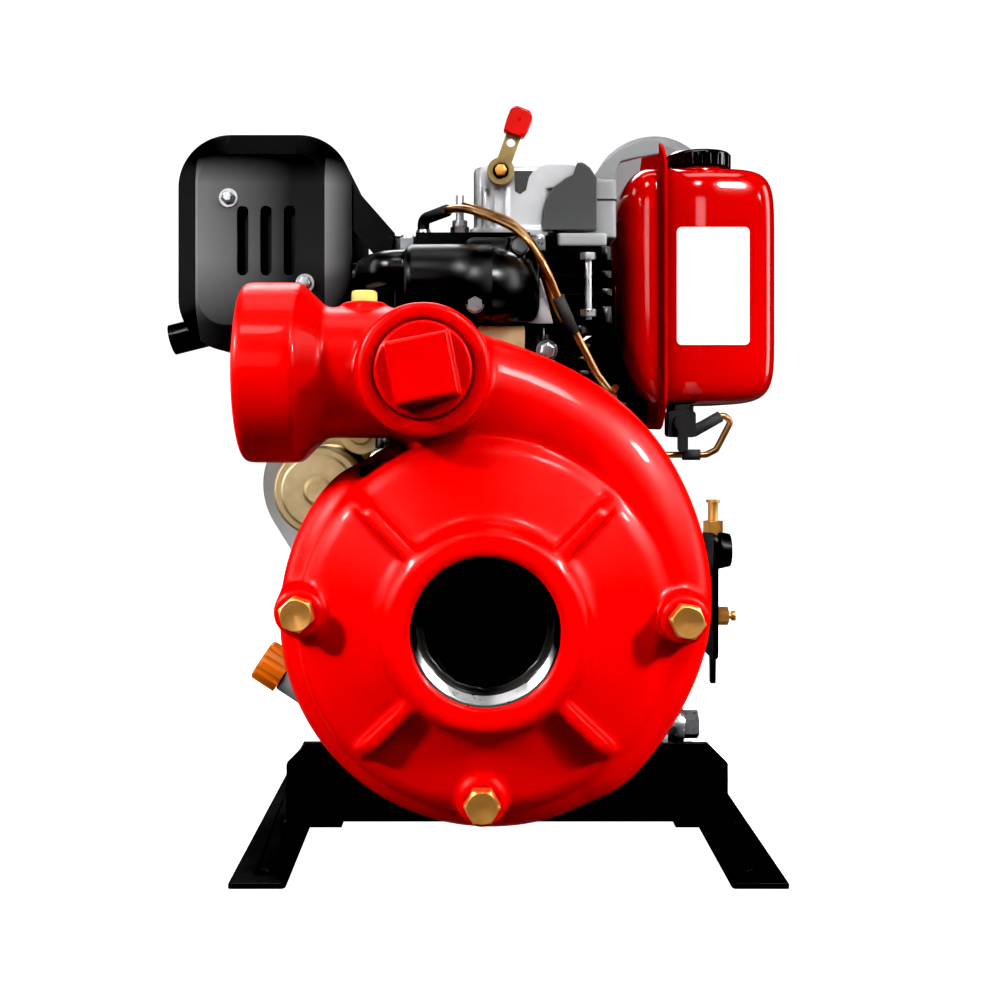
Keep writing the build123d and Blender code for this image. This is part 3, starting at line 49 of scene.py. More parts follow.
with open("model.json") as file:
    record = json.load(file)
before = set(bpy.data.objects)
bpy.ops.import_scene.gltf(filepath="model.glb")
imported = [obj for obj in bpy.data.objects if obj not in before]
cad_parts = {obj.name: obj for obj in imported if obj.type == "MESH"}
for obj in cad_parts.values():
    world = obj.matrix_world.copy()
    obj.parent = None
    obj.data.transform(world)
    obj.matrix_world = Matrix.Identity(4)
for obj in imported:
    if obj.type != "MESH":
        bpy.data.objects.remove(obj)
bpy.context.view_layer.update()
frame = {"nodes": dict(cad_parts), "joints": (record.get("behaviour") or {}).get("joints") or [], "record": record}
NODES = frame["nodes"]


# ------------------------------------------------------------ places from the frame
def joint_place(name):
    """Where a joint turns or slides, in metres."""
    return Vector(next(j for j in frame["joints"] if j["name"] == name)["pos_m"])


def in_mm(place):
    """A place in metres as millimetres, to the nearest micron."""
    return Vector([round(value / MM, 3) for value in place])


def corners_of(node):
    """Lowest and highest corner of a CAD node at rest, in millimetres."""
    low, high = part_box(node)
    return in_mm(low), in_mm(high)


MOUNTS = {mount["name"]: Vector(mount["pos_m"]) for mount in frame["record"]["mounts"]}
SUCTION = MOUNTS["suction_port"]
DISCHARGE = MOUNTS["discharge_port"]
SHAFT = joint_place("crank_spin")
LEVER_PIVOT = joint_place("decompressor_turn") / MM

PORT_R = 42.5 * MM
PORT_FACE_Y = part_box("volute_casing")[0].y
SOCKET_FACE_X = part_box("volute_casing")[0].x
BETWEEN_PORTS_X = (SUCTION.x + SOCKET_FACE_X) / 2
SOCKET_DEPTH = 14 * MM
NECK_R = 34.5 * MM
NECK_DEPTH = 95 * MM
# in front of this the shaft is painted near-black as painted shade, inside the pump
SHADED_SHAFT_END_Y = SUCTION.y + 90 * MM

SHIELD_LOW, SHIELD_HIGH = (Vector(corner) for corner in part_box("muffler_shield"))
SHIELD_PANEL_X = SHIELD_LOW.x + 16.5 * MM
SHIELD_BEVEL_X = SHIELD_HIGH.x - 18.5 * MM


# ------------------------------------------------------------------- material tools
class Shader:
    """A node material in object space, built one input at a time."""

    def __init__(self, name, colour, roughness, metallic=0.0, coat=0.0, specular=0.5):
        self.material = bpy.data.materials.new(name)
        self.material.use_nodes = True
        self.tree = self.material.node_tree
        self.bsdf = self.tree.nodes["Principled BSDF"]
        self.bsdf.inputs["Metallic"].default_value = metallic
        self.bsdf.inputs["Roughness"].default_value = roughness
        self.bsdf.inputs["Coat Weight"].default_value = coat
        self.bsdf.inputs["Coat Roughness"].default_value = 0.06
        self.bsdf.inputs["Specular IOR Level"].default_value = specular
        self.bsdf.inputs["Base Color"].default_value = (*colour, 1.0)
        self.place = self.add("ShaderNodeTexCoord").outputs["Object"]
        self.colour = colour
        self.normal = None

    def add(self, kind, **settings):
        """A new node with these settings."""
        node = self.tree.nodes.new(kind)
        for key, value in settings.items():
            setattr(node, key, value)
        return node

    def link(self, source, target):
        """Feeds a number, a colour or another node's output into an input."""
        if isinstance(source, (int, float)):
            target.default_value = source
        elif isinstance(source, tuple):
            target.default_value = (*source, 1.0)
        else:
            self.tree.links.new(source, target)

    def math(self, operation, a, b):
        node = self.add("ShaderNodeMath", operation=operation)
        self.link(a, node.inputs[0])
        self.link(b, node.inputs[1])
        return node.outputs[0]

    def stretch(self, value, low, high, out_low=0.0, out_high=1.0):
        """Maps low..high to out_low..out_high and holds the ends."""
        node = self.add("ShaderNodeMapRange")
        node.clamp = True
        self.link(value, node.inputs["Value"])
        node.inputs["From Min"].default_value = low
        node.inputs["From Max"].default_value = high
        node.inputs["To Min"].default_value = out_low
        node.inputs["To Max"].default_value = out_high
        return node.outputs["Result"]

    def noise(self, size, detail, rough=0.5):
        """Noise whose features are about size metres across."""
        node = self.add("ShaderNodeTexNoise")
        node.inputs["Scale"].default_value = 1.0 / size
        node.inputs["Detail"].default_value = detail
        node.inputs["Roughness"].default_value = rough
        self.link(self.place, node.inputs["Vector"])
        return node.outputs["Fac"]

    def axis(self, name):
        """The coordinate along X, Y or Z."""
        node = self.add("ShaderNodeSeparateXYZ")
        self.link(self.place, node.inputs[0])
        return node.outputs[name]

    def distance_from_line(self, point, skip):
        """Distance from a line through point along the axis named skip."""
        squares = []
        for index, name in enumerate("XYZ"):
            if name != skip:
                offset = self.math("SUBTRACT", self.axis(name), point[index])
                squares.append(self.math("MULTIPLY", offset, offset))
        return self.math("SQRT", self.math("ADD", *squares), 0.0)

    def hollows(self, reach):
        """0 in the open and towards 1 in corners and under overhangs, from ambient occlusion: a mask of where
        shade falls.
        """
        node = self.add("ShaderNodeAmbientOcclusion", samples=4)
        node.inputs["Distance"].default_value = reach
        return self.math("SUBTRACT", 1.0, node.outputs["AO"])

    def mix(self, mask, colour):
        """Lays another colour over the ones so far where mask is 1."""
        node = self.add("ShaderNodeMix", data_type="RGBA")
        self.link(mask, node.inputs["Factor"])
        self.link(self.colour, node.inputs["A"])
        self.link(colour, node.inputs["B"])
        self.colour = node.outputs["Result"]
        self.link(self.colour, self.bsdf.inputs["Base Color"])

    def mottle(self, noise, low, high, amount, colour):
        """Patches of another colour, which come in as noise goes from low to high."""
        self.mix(self.stretch(noise, low, high, 0.0, amount), colour)

    def shade_and_grime(self, reach, amount, colour):
        """Another colour in corners and under overhangs: painted shade, which also stands for grime there."""
        self.mix(self.math("MULTIPLY", self.hollows(reach), amount), colour)

    def vary(self, mask, low, high):
        """Roughness between low and high."""
        self.link(self.stretch(mask, 0.0, 1.0, low, high), self.bsdf.inputs["Roughness"])

    def bump(self, height, depth, strength):
        """Bump of depth metres from a 0 to 1 height."""
        node = self.add("ShaderNodeBump")
        node.inputs["Strength"].default_value = strength
        node.inputs["Distance"].default_value = depth
        self.link(height, node.inputs["Height"])
        if self.normal is not None:
            self.link(self.normal, node.inputs["Normal"])
        self.normal = node.outputs["Normal"]
        self.link(self.normal, self.bsdf.inputs["Normal"])


def scaled(colour, factor):
    return tuple(channel * factor for channel in colour)


def passage_shade(s):
    """1 on the unpainted walls inside the two ports, which are bare iron coloured near-black as painted shade; 0
    on the outside of the casing.
    """
    walls = s.math("LESS_THAN", s.distance_from_line(SUCTION, "Y"), PORT_R - 0.4 * MM)
    off_line = s.distance_from_line(DISCHARGE, "X")
    for radius, depth in ((NECK_R, NECK_DEPTH), (PORT_R + 0.4 * MM, SOCKET_DEPTH)):
        inside = s.math("LESS_THAN", off_line, radius)
        near = s.math("LESS_THAN", s.axis("X"), DISCHARGE.x + depth)
        walls = s.math("MAXIMUM", walls, s.math("MULTIPLY", inside, near))
    return walls


# ------------------------------------------------------------------------ materials
def painted_casting():
    """Glossy red enamel brushed over sand-cast iron."""
    s = Shader("painted_casting", (0.6, 0.001, 0.0), 0.42, coat=0.12, specular=0.16)
    lumps = s.noise(0.022, 2.0)
    s.mottle(lumps, 0.35, 0.75, 0.35, (0.5, 0.0, 0.0))
    # darker red in corners and under overhangs: painted shade
    s.shade_and_grime(0.035, 0.85, (0.08, 0.0, 0.0))
    # walls inside the ports near-black: bare iron, darkened further as painted shade
    s.mix(passage_shade(s), (0.012, 0.011, 0.01))
    s.vary(s.noise(0.012, 3.0), 0.34, 0.48)
    s.bump(lumps, 0.0012, 0.35)
    s.bump(s.noise(0.0016, 4.0, 0.6), 0.00018, 0.5)
    return s.material


def painted_pressing():
    """Smooth glossy red enamel on pressed sheet."""
    s = Shader("painted_pressing", (0.6, 0.001, 0.0), 0.2, coat=0.8, specular=0.35)
    s.mottle(s.noise(0.09, 1.0), 0.3, 0.7, 0.25, (0.5, 0.0, 0.0))
    # darker red in corners: painted shade
    s.shade_and_grime(0.01, 0.5, (0.2, 0.0, 0.0))
    s.bump(s.noise(0.0035, 2.0), 0.00004, 0.4)
    s.bump(s.noise(0.06, 1.0), 0.0008, 0.3)
    return s.material


def enamel_edge():
    """Red enamel on the crimped seam, dulled so it keeps its colour when seen edge-on."""
    s = Shader("enamel_edge", (0.5, 0.0, 0.0), 0.6, specular=0.05)
    s.mottle(s.noise(0.02, 2.0), 0.4, 0.7, 0.4, (0.36, 0.0, 0.0))
    s.bump(s.noise(0.004, 2.0), 0.00005, 0.4)
    return s.material


def black_paint():
    """Brushed black enamel on frame, tray and brackets."""
    s = Shader("black_paint", (0.0025, 0.0025, 0.003), 0.34, specular=0.28)
    s.mottle(s.noise(0.03, 4.0, 0.65), 0.52, 0.8, 0.5, (0.008, 0.008, 0.008))
    s.vary(s.noise(0.02, 4.0), 0.26, 0.44)
    s.bump(s.noise(0.0014, 3.0), 0.00008, 0.5)
    return s.material


def black_heat():
    """Heat-resistant black on castings and the muffler."""
    s = Shader("black_heat", (0.003, 0.003, 0.0032), 0.3, specular=0.42)
    s.mottle(s.noise(0.025, 4.0, 0.6), 0.5, 0.8, 0.6, (0.008, 0.008, 0.0075))
    s.vary(s.noise(0.015, 3.0), 0.24, 0.36)
    s.bump(s.noise(0.0009, 3.0), 0.00006, 0.4)
    return s.material


def painted_sheen_black():
    """Sprayed black sheet with a painted sheen: grey painted into the colour as a reflection, fading across the
    panel and its right-hand bevel.
    """
    s = Shader("painted_sheen_black", (0.004, 0.004, 0.004), 0.42, metallic=0.3, specular=0.06)
    x = s.axis("X")
    z = s.axis("Z")
    past_left_fold = s.math("GREATER_THAN", x, SHIELD_PANEL_X)
    on_panel = s.math("MULTIPLY", past_left_fold, s.math("LESS_THAN", x, SHIELD_BEVEL_X))
    on_bevel = s.math("GREATER_THAN", x, SHIELD_BEVEL_X)
    across_panel = s.stretch(x, SHIELD_PANEL_X, SHIELD_BEVEL_X - 25 * MM, 1.0, 0.12)
    across_bevel = s.stretch(x, SHIELD_BEVEL_X, SHIELD_BEVEL_X + 17 * MM, 0.9, 0.2)
    panel = s.math("MULTIPLY", across_panel, on_panel)
    bevel = s.math("MULTIPLY", across_bevel, on_bevel)
    top = s.stretch(z, SHIELD_HIGH.z - 40 * MM, SHIELD_HIGH.z - 18 * MM, 1.0, 0.0)
    bottom = s.stretch(z, SHIELD_LOW.z + 19 * MM, SHIELD_LOW.z + 67 * MM, 0.25, 1.0)
    painted_sheen = s.math("MULTIPLY", s.math("ADD", panel, bevel), s.math("MULTIPLY", top, bottom))
    # painted sheen: grey laid over the black as a painted reflection
    s.mix(painted_sheen, (0.28, 0.28, 0.285))
    s.vary(s.noise(0.02, 3.0), 0.36, 0.46)
    s.bump(s.noise(0.0012, 3.0), 0.00005, 0.4)
    return s.material


def cast_aluminium():
    """Bead-blasted die casting, darker in its corners: painted shade and grime."""
    colour = (0.62, 0.63, 0.65)
    s = Shader("die_cast", colour, 0.42, metallic=0.75)
    s.mottle(s.noise(0.03, 4.0, 0.6), 0.4, 0.75, 0.35, scaled(colour, 0.72))
    # darker in corners: painted shade and grime
    s.shade_and_grime(0.012, 0.8, (0.05, 0.048, 0.045))
    s.vary(s.noise(0.008, 4.0), 0.34, 0.54)
    s.bump(s.noise(0.0011, 4.0, 0.6), 0.00012, 0.5)
    return s.material


def cast_iron():
    """Bare grey iron with a first bloom of rust."""
    s = Shader("bare_cast_iron", (0.09, 0.088, 0.085), 0.6, metallic=0.6)
    s.bump(s.noise(0.0015, 4.0, 0.6), 0.0002, 0.6)
    s.mottle(s.noise(0.012, 4.0), 0.5, 0.8, 0.5, (0.14, 0.1, 0.07))
    return s.material


def grey_paint(name, level):
    """Semi-gloss grey paint of this lightness."""
    s = Shader(name, (level, level * 1.02, level * 1.04), 0.32, coat=0.3)
    # darker in corners: painted shade and grime
    s.shade_and_grime(0.02, 0.7, (0.12, 0.12, 0.12))
    s.mottle(s.noise(0.05, 4.0), 0.5, 0.8, 0.3, (level * 0.7,) * 3)
    s.bump(s.noise(0.0025, 3.0), 0.0001, 0.4)
    return s.material


def plated(name, colour, tint, roughness):
    """Zinc plating, whose passivation drifts between two tints."""
    s = Shader(name, colour, roughness, metallic=1.0)
    s.mottle(s.noise(0.02, 4.0, 0.6), 0.35, 0.7, 1.0, tint)
    # darker in corners: painted shade and grime
    s.shade_and_grime(0.006, 0.7, (0.06, 0.05, 0.04))
    s.vary(s.noise(0.004, 4.0), roughness - 0.06, roughness + 0.14)
    s.bump(s.noise(0.0008, 2.0), 0.00005, 0.4)
    return s.material


def brass():
    """Turned brass with fine tool marks."""
    s = Shader("brass", (0.9, 0.47, 0.15), 0.34, metallic=0.95)
    s.mottle(s.noise(0.006, 4.0, 0.6), 0.45, 0.8, 0.6, (0.7, 0.33, 0.09))
    # darker in corners: painted shade and grime
    s.shade_and_grime(0.004, 0.6, (0.2, 0.1, 0.03))
    s.vary(s.noise(0.003, 3.0), 0.3, 0.46)
    s.bump(s.noise(0.0006, 2.0), 0.00004, 0.4)
    return s.material


def drawn_tube():
    """Copper-plated steel tube, lightly tarnished along its length."""
    s = Shader("drawn_tube", (0.55, 0.32, 0.15), 0.3, metallic=1.0)
    s.mottle(s.noise(0.018, 3.0), 0.42, 0.7, 1.0, (0.3, 0.15, 0.07))
    s.vary(s.noise(0.004, 3.0), 0.22, 0.42)
    return s.material


def ground_steel(name):
    """Turned and ground steel, duller in patches; returned unfinished, for further layers."""
    colour = (0.56, 0.56, 0.58)
    s = Shader(name, colour, 0.28, metallic=1.0)
    s.mottle(s.noise(0.01, 4.0, 0.6), 0.45, 0.8, 0.5, scaled(colour, 0.6))
    s.vary(s.noise(0.004, 3.0), 0.23, 0.4)
    return s


def machined_steel():
    s = ground_steel("machined_steel")
    s.bump(s.noise(0.0007, 2.0), 0.00004, 0.4)
    return s.material


def pump_shaft():
    """Ground steel, painted near-black as painted shade where it runs in the pump's water."""
    s = ground_steel("pump_shaft")
    s.mix(s.math("LESS_THAN", s.axis("Y"), SHADED_SHAFT_END_Y), (0.006, 0.006, 0.006))
    return s.material


def port_wall():
    """Bare machined thread; the upper half of the suction eye is painted near-black as painted shade."""
    s = Shader("port_wall", (0.62, 0.62, 0.62), 0.26, metallic=1.0)
    upper = s.stretch(s.axis("Z"), SUCTION.z - 32 * MM, SUCTION.z - 8 * MM)
    in_suction = s.math("GREATER_THAN", s.axis("X"), BETWEEN_PORTS_X)
    # upper wall of the suction eye near-black: painted shade
    s.mix(s.math("MULTIPLY", upper, in_suction), (0.008, 0.008, 0.008))
    s.vary(s.noise(0.004, 3.0), 0.22, 0.38)
    return s.material


def moulded(name, colour, roughness, coat=0.0):
    """Moulded plastic, or another evenly coloured surface, with a fine texture."""
    s = Shader(name, colour, roughness, coat=coat)
    s.mottle(s.noise(0.02, 2.0), 0.4, 0.7, 0.4, scaled(colour, 0.7))
    s.vary(s.noise(0.006, 3.0), roughness - 0.06, roughness + 0.1)
    s.bump(s.noise(0.0005, 2.0), 0.00004, 0.5)
    return s.material


def rubber():
    """Dull black rubber, greyer where it is dusty."""
    s = Shader("rubber", (0.018, 0.018, 0.018), 0.7)
    s.mottle(s.noise(0.01, 4.0), 0.5, 0.8, 0.5, (0.05, 0.048, 0.045))
    s.bump(s.noise(0.0012, 3.0), 0.0001, 0.5)
    return s.material


def label():
    """Blank coated paper sticker."""
    s = Shader("sticker", (0.86, 0.87, 0.88), 0.35, coat=0.4)
    s.bump(s.noise(0.01, 2.0), 0.0001, 0.3)
    return s.material


MATERIALS = {
    # the record's slots, apart from those whose nodes all have a finish of their own
    "pump_red": painted_casting(),
    "tank_red": painted_pressing(),
    "brass": brass(),
    "copper": drawn_tube(),
    "gold_zinc": plated("gold_zinc", (0.88, 0.72, 0.44), (0.7, 0.55, 0.3), 0.4),
    "bright_zinc": plated("bright_zinc", (0.68, 0.7, 0.73), (0.58, 0.58, 0.6), 0.26),
    "steel": machined_steel(),
    "cast_iron": cast_iron(),
    "aluminium": cast_aluminium(),
    "black_paint": black_paint(),
    "black_heat": black_heat(),
    "black_plastic": moulded("black_plastic", (0.014, 0.014, 0.015), 0.42),
    "orange_plastic": moulded("orange_plastic", (0.85, 0.2, 0.015), 0.3, 0.3),
    "black_rubber": rubber(),
    "gasket": rubber(),
    # finishes of single nodes and pieces
    "pale_grey": grey_paint("pale_grey", 0.9),
    # a darker copy of the pale grey paint: painted shade on the air cleaner, intake elbow and air tube
    "shaded_grey": grey_paint("shaded_grey", 0.3),
    # dark grey for the plates that are painted shade at the rocker cover
    "dark_grey": grey_paint("dark_grey", 0.075),
    "dark_gold": plated("dark_gold", (0.5, 0.38, 0.18), (0.3, 0.22, 0.1), 0.36),
    "red_plastic": moulded("red_plastic", (0.75, 0.015, 0.01), 0.28, 0.3),
    "gloss_cap": moulded("gloss_cap", (0.008, 0.008, 0.009), 0.16, 0.6),
    # near-black iron for the impeller and its nut: painted shade inside the pump
    "shade_black_iron": moulded("shade_black_iron", (0.006, 0.0055, 0.005), 0.55),
    "painted_sheen_black": painted_sheen_black(),
    "enamel_edge": enamel_edge(),
    "pump_shaft": pump_shaft(),
    "bare_wall": port_wall(),
    "sticker": label(),
}


# --------------------------------------------------------------- dressing CAD nodes
NODE_FINISHES = {
    # impeller and nut near-black: painted shade
    "impeller": "shade_black_iron",
    "impeller_nut": "shade_black_iron",
    "crankshaft": "pump_shaft",
    "muffler_shield": "painted_sheen_black",
    "decompression_lever": "dark_gold",
    "fan_housing": "pale_grey",
    "air_cleaner": "shaded_grey",
    "intake_elbow": "shaded_grey",
    "fuel_cap": "gloss_cap",
}

# node: (size of the remeshed faces, rounds of smoothing)
CASTINGS = {
    "volute_casing": (1.6 * MM, 16),
    "rear_adapter": (1.8 * MM, 5),
    "exhaust_manifold": (1.5 * MM, 16),
    "intake_elbow": (1.2 * MM, 5),
    "rocker_cover": (1.0 * MM, 6),
    "crankcase": (2.0 * MM, 5),
    "timing_cover": (1.8 * MM, 4),
    "outlet_plug": (0.8 * MM, 4),
}

# node: (bevel width, segments, least angle of an edge that is bevelled)
FOLDED_SHEETS = {"muffler_shield": (5.0 * MM, 5, 25.0)}


def paint(obj, finish):
    obj.data.materials.clear()
    obj.data.materials.append(MATERIALS[finish])


def weld(obj):
    """Joins vertices in one place, as a CAD node has along its edges."""
    modifier = obj.modifiers.new("weld", "WELD")
    modifier.merge_threshold = 0.00001


def soften(obj, width=0.6 * MM, segments=2, angle=32.0):
    """Small rounded edges on a machined or folded piece."""
    weld(obj)
    bevel = obj.modifiers.new("bevel", "BEVEL")
    bevel.width = width
    bevel.segments = segments
    bevel.limit_method = "ANGLE"
    bevel.angle_limit = math.radians(angle)
    bevel.harden_normals = True


def recast(obj, voxel, rounds):
    """Turns a CAD solid into a casting: every edge and inner corner gets a radius."""
    weld(obj)
    remesh = obj.modifiers.new("remesh", "REMESH")
    remesh.mode = "VOXEL"
    remesh.voxel_size = voxel
    remesh.use_smooth_shade = True
    smooth = obj.modifiers.new("smooth", "SMOOTH")
    smooth.factor = 0.5
    smooth.iterations = rounds


def dress_nodes():
    """Gives every CAD node its finish, and cast or softened edges."""
    for entry in frame["record"]["subparts"]:
        name = entry["node"]
        paint(NODES[name], NODE_FINISHES.get(name, entry["material_slot"]))
        if name in CASTINGS:
            recast(NODES[name], *CASTINGS[name])
        else:
            soften(NODES[name], *FOLDED_SHEETS.get(name, ()))


# ----------------------------------------------------------------------- piece tools
SAME_POINT = 1e-6
LEAST_R = 0.01
TUBE_SIDES = 20
CORNER_STEPS = 8


def piece(name, verts, faces, slot, material=None, body="root", smooth=True, bevel=0.0):
    """A closed mesh from vertices in millimetres, painted and tied to a body."""
    mesh = bpy.data.meshes.new(name)
    mesh.from_pydata([Vector(v) * MM for v in verts], [], faces)
    edit = bmesh.new()
    edit.from_mesh(mesh)
    bmesh.ops.remove_doubles(edit, verts=edit.verts, dist=SAME_POINT)
    bmesh.ops.recalc_face_normals(edit, faces=edit.faces)
    edit.to_mesh(mesh)
    edit.free()
    for polygon in mesh.polygons:
        polygon.use_smooth = smooth
    obj = bpy.data.objects.new(name, mesh)
    bpy.context.scene.collection.objects.link(obj)
    paint(obj, material or slot)
    if bevel:
        soften(obj, bevel * MM, 3, 35.0)
    if body:
        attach(obj, body)
    return obj


def skin(rings, closed=False):
    """Vertices and faces that join rings of equal length, with end caps if not closed."""
    count = len(rings)
    n = len(rings[0])
    verts = [v for ring in rings for v in ring]
    faces = []
    for i in range(count if closed else count - 1):
        here = i * n
        there = (i + 1) % count * n
        for j in range(n):
            k = (j + 1) % n
            faces.append((here + j, here + k, there + k, there + j))
    if not closed:
        faces.append(tuple(range(n - 1, -1, -1)))
        faces.append(tuple(range((count - 1) * n, count * n)))
    return verts, faces


def axes_of(direction):
    """A unit vector along direction, and two square to it."""
    axis = Vector(direction).normalized()
    side = axis.cross(UP)
    if side.length < 0.1:
        side = axis.cross(BACK)
    side.normalize()
    return axis, side, axis.cross(side)


def spokes(side, up, count):
    """Unit vectors evenly round a circle, from side towards up."""
    turns = [2 * math.pi * k / count for k in range(count)]
    return [side * math.cos(a) + up * math.sin(a) for a in turns]


def lathe(name, origin, direction, profile, slot, sides=64, **options):
    """A solid of revolution from (radius, height) pairs along a direction."""
    axis, side, up = axes_of(direction)
    circle = spokes(side, up, sides)
    rings = []
    for radius, height in profile:
        centre = Vector(origin) + axis * height
        rings.append([centre + spoke * max(radius, LEAST_R) for spoke in circle])
    return piece(name, *skin(rings), slot, **options)


def rounded_path(points, bend, steps=8):
    """Points along a line whose corners are rounded, at most bend before and after each."""
    points = [Vector(p) for p in points]
    path = [points[0]]
    for before, corner, after in zip(points, points[1:], points[2:]):
        reach = min(bend, (corner - before).length * 0.48, (after - corner).length * 0.48)
        a = corner + (before - corner).normalized() * reach
        b = corner + (after - corner).normalized() * reach
        for k in range(steps + 1):
            t = k / steps
            path.append(a * (1 - t) ** 2 + corner * 2 * t * (1 - t) + b * t ** 2)
    path.append(points[-1])
    return path


def tube(name, start, steps, radius, slot, bend=6.0, **options):
    """A round bar along a rounded line, whose corners are given as steps from start."""
    path = rounded_path([Vector(start) + Vector(step) for step in steps], bend)
    side = axes_of(path[1] - path[0])[1]
    rings = []
    for i, place in enumerate(path):
        tangent = (path[min(i + 1, len(path) - 1)] - path[max(i - 1, 0)]).normalized()
        side = (side - tangent * side.dot(tangent)).normalized()
        circle = spokes(side, tangent.cross(side), TUBE_SIDES)
        rings.append([place + spoke * radius for spoke in circle])
    return piece(name, *skin(rings), slot, **options)


def prism(name, outline, place, x_axis, y_axis, depth, slot, **options):
    """A plate: outline lies in the plane of two axes and grows along their cross product."""
    normal = x_axis.cross(y_axis)
    rings = []
    for level in (0.0, depth):
        rings.append([Vector(place) + x_axis * u + y_axis * v + normal * level for u, v in outline])
    return piece(name, *skin(rings), slot, **options)


def front_plate(name, outline, place, depth, slot, bevel=0.5, **options):
    """A plate square to the shaft: its outline is (right, up) from place, and it grows forwards."""
    return prism(name, outline, place, RIGHT, UP, depth, slot, smooth=False, bevel=bevel, **options)


def rounded_rectangle(width, height, radius):
    """Outline with rounded corners, from a low corner at (0, 0)."""
    outline = []
    for right, top, start in ((1, 1, 0), (0, 1, 90), (0, 0, 180), (1, 0, 270)):
        x = radius + right * (width - 2 * radius)
        y = radius + top * (height - 2 * radius)
        for k in range(CORNER_STEPS + 1):
            a = math.radians(start + 90 * k / CORNER_STEPS)
            outline.append((x + radius * math.cos(a), y + radius * math.sin(a)))
    return outline


def hexagon(radius, turn):
    """Outline with its first corner turn degrees round from the first axis."""
    corners = [math.radians(60 * k + turn) for k in range(6)]
    return [(radius * math.cos(a), radius * math.sin(a)) for a in corners]


# (share of the radius, share of the height) up a screw's head
SCREW_CROWN = ((1.0, 0.0), (1.0, 0.72), (0.9, 0.93), (0.55, 1.0), (0.02, 1.02))
WASHER_THICK = 1.1


def cap_screw(name, place, across, height, slot="bright_zinc", turn=0.0, washer=1.25, body="root"):
    """A hexagon screw facing the front, with a domed top and a washer."""
    x, y, z = place
    radius = across / 2 / math.cos(math.radians(30))
    rings = []
    for scale, level in SCREW_CROWN:
        rings.append([(x + u, y - height * level, z + v) for u, v in hexagon(radius * scale, turn)])
    piece(name, *skin(rings), slot, smooth=False, body=body, bevel=0.25)
    rim = radius * washer
    profile = [(0, 0), (rim, 0), (rim, WASHER_THICK), (0, WASHER_THICK)]
    lathe(name + "_washer", (x, y + WASHER_THICK, z), -BACK, profile, slot, sides=40, smooth=False,
          body=body, bevel=0.25)


# ---------------------------------------------------------------------- port threads
THREAD_PITCH = 2.309
THREAD_DEPTH = 1.3
THREAD_R = PORT_R / MM - 0.05
THREAD_WALL = 0.9
THREAD_SIDES = 120
ROWS_PER_PITCH = 6


def port_thread(name, mouth, inward, length):
    """A bare ring with a pipe thread cut on its inside, shallow at both ends."""
    axis, side, up = axes_of(inward)
    rows = int(length / THREAD_PITCH * ROWS_PER_PITCH)
    rings = []
    for k, spoke in enumerate(spokes(side, up, THREAD_SIDES)):
        ring = []
        for i in range(rows + 1):
            along = length * i / rows
            phase = (along / THREAD_PITCH - k / THREAD_SIDES) % 1.0
            tooth = 1.0 - abs(2.0 * phase - 1.0)
            run_in = min(1.0, along / 3.0, (length - along) / 2.0)
            crest = THREAD_R - THREAD_DEPTH * tooth * run_in
            ring.append(Vector(mouth) + axis * along + spoke * crest)
        ring.append(Vector(mouth) + axis * length + spoke * (THREAD_R + THREAD_WALL))
        ring.append(Vector(mouth) + spoke * (THREAD_R + THREAD_WALL))
        rings.append(ring)
    piece(name, *skin(rings, closed=True), "steel", material="bare_wall", smooth=False)


def port_threads():
    suction_mouth = (SUCTION.x / MM, PORT_FACE_Y / MM + 2.6, SUCTION.z / MM)
    port_thread("suction_thread", suction_mouth, BACK, 27.0)
    discharge_mouth = (SOCKET_FACE_X / MM + 0.6, DISCHARGE.y / MM, DISCHARGE.z / MM)
    port_thread("discharge_thread", discharge_mouth, RIGHT, 30.0)


# ------------------------------------------------------------------------- fuel tank
TANK_LOW, TANK_HIGH = corners_of("fuel_tank")
FLANGE_REACH = 12.0
TANK_MID_Y = (TANK_LOW.y + TANK_HIGH.y) / 2
TANK_HALF_Y = (TANK_HIGH.y - TANK_LOW.y) / 2 - FLANGE_REACH
TANK_BOTTOM_Z = TANK_LOW.z + 20.0
TANK_TOP_Z = TANK_HIGH.z - 36.0
TANK_MID_Z = (TANK_BOTTOM_Z + TANK_TOP_Z) / 2
TANK_HALF_Z = (TANK_TOP_Z - TANK_BOTTOM_Z) / 2
SEAM_X = TANK_LOW.x + 36.0
SEAM_THICK = 2.8
ROWS_AROUND = 144
ROWS_ALONG = 30
SIDE_ROUNDNESS = 8.5
TAPER_START = 0.25


def power_of(value, roundness):
    """One coordinate of a superellipse: square-cornered as roundness grows past 2."""
    return math.copysign(abs(value) ** (2 / roundness), value)


def tank_half(name, depth, roundness, taper=0.0):
    """One pressed half, bulging away from the seam.

    It gets thinner by the share taper at its bottom edge, from TAPER_START of its half height down.
    """
    rings = []
    for i in range(ROWS_ALONG + 1):
        t = 0.5 * math.pi * i / ROWS_ALONG
        out = power_of(math.sin(t), roundness)
        scale = power_of(max(math.cos(t), 1e-4), roundness)
        ring = []
        for k in range(ROWS_AROUND):
            a = 2 * math.pi * k / ROWS_AROUND
            u = power_of(math.cos(a), SIDE_ROUNDNESS) * scale
            v = power_of(math.sin(a), SIDE_ROUNDNESS) * scale
            low = min(1.0, max(0.0, (-v - TAPER_START) / (1.0 - TAPER_START)))
            lean = depth * out * (1.0 - taper * low ** 2)
            ring.append((SEAM_X + lean, TANK_MID_Y + u * TANK_HALF_Y, TANK_MID_Z + v * TANK_HALF_Z))
        rings.append(ring)
    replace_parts(piece(name, *skin(rings), "tank_red"), "fuel_tank")


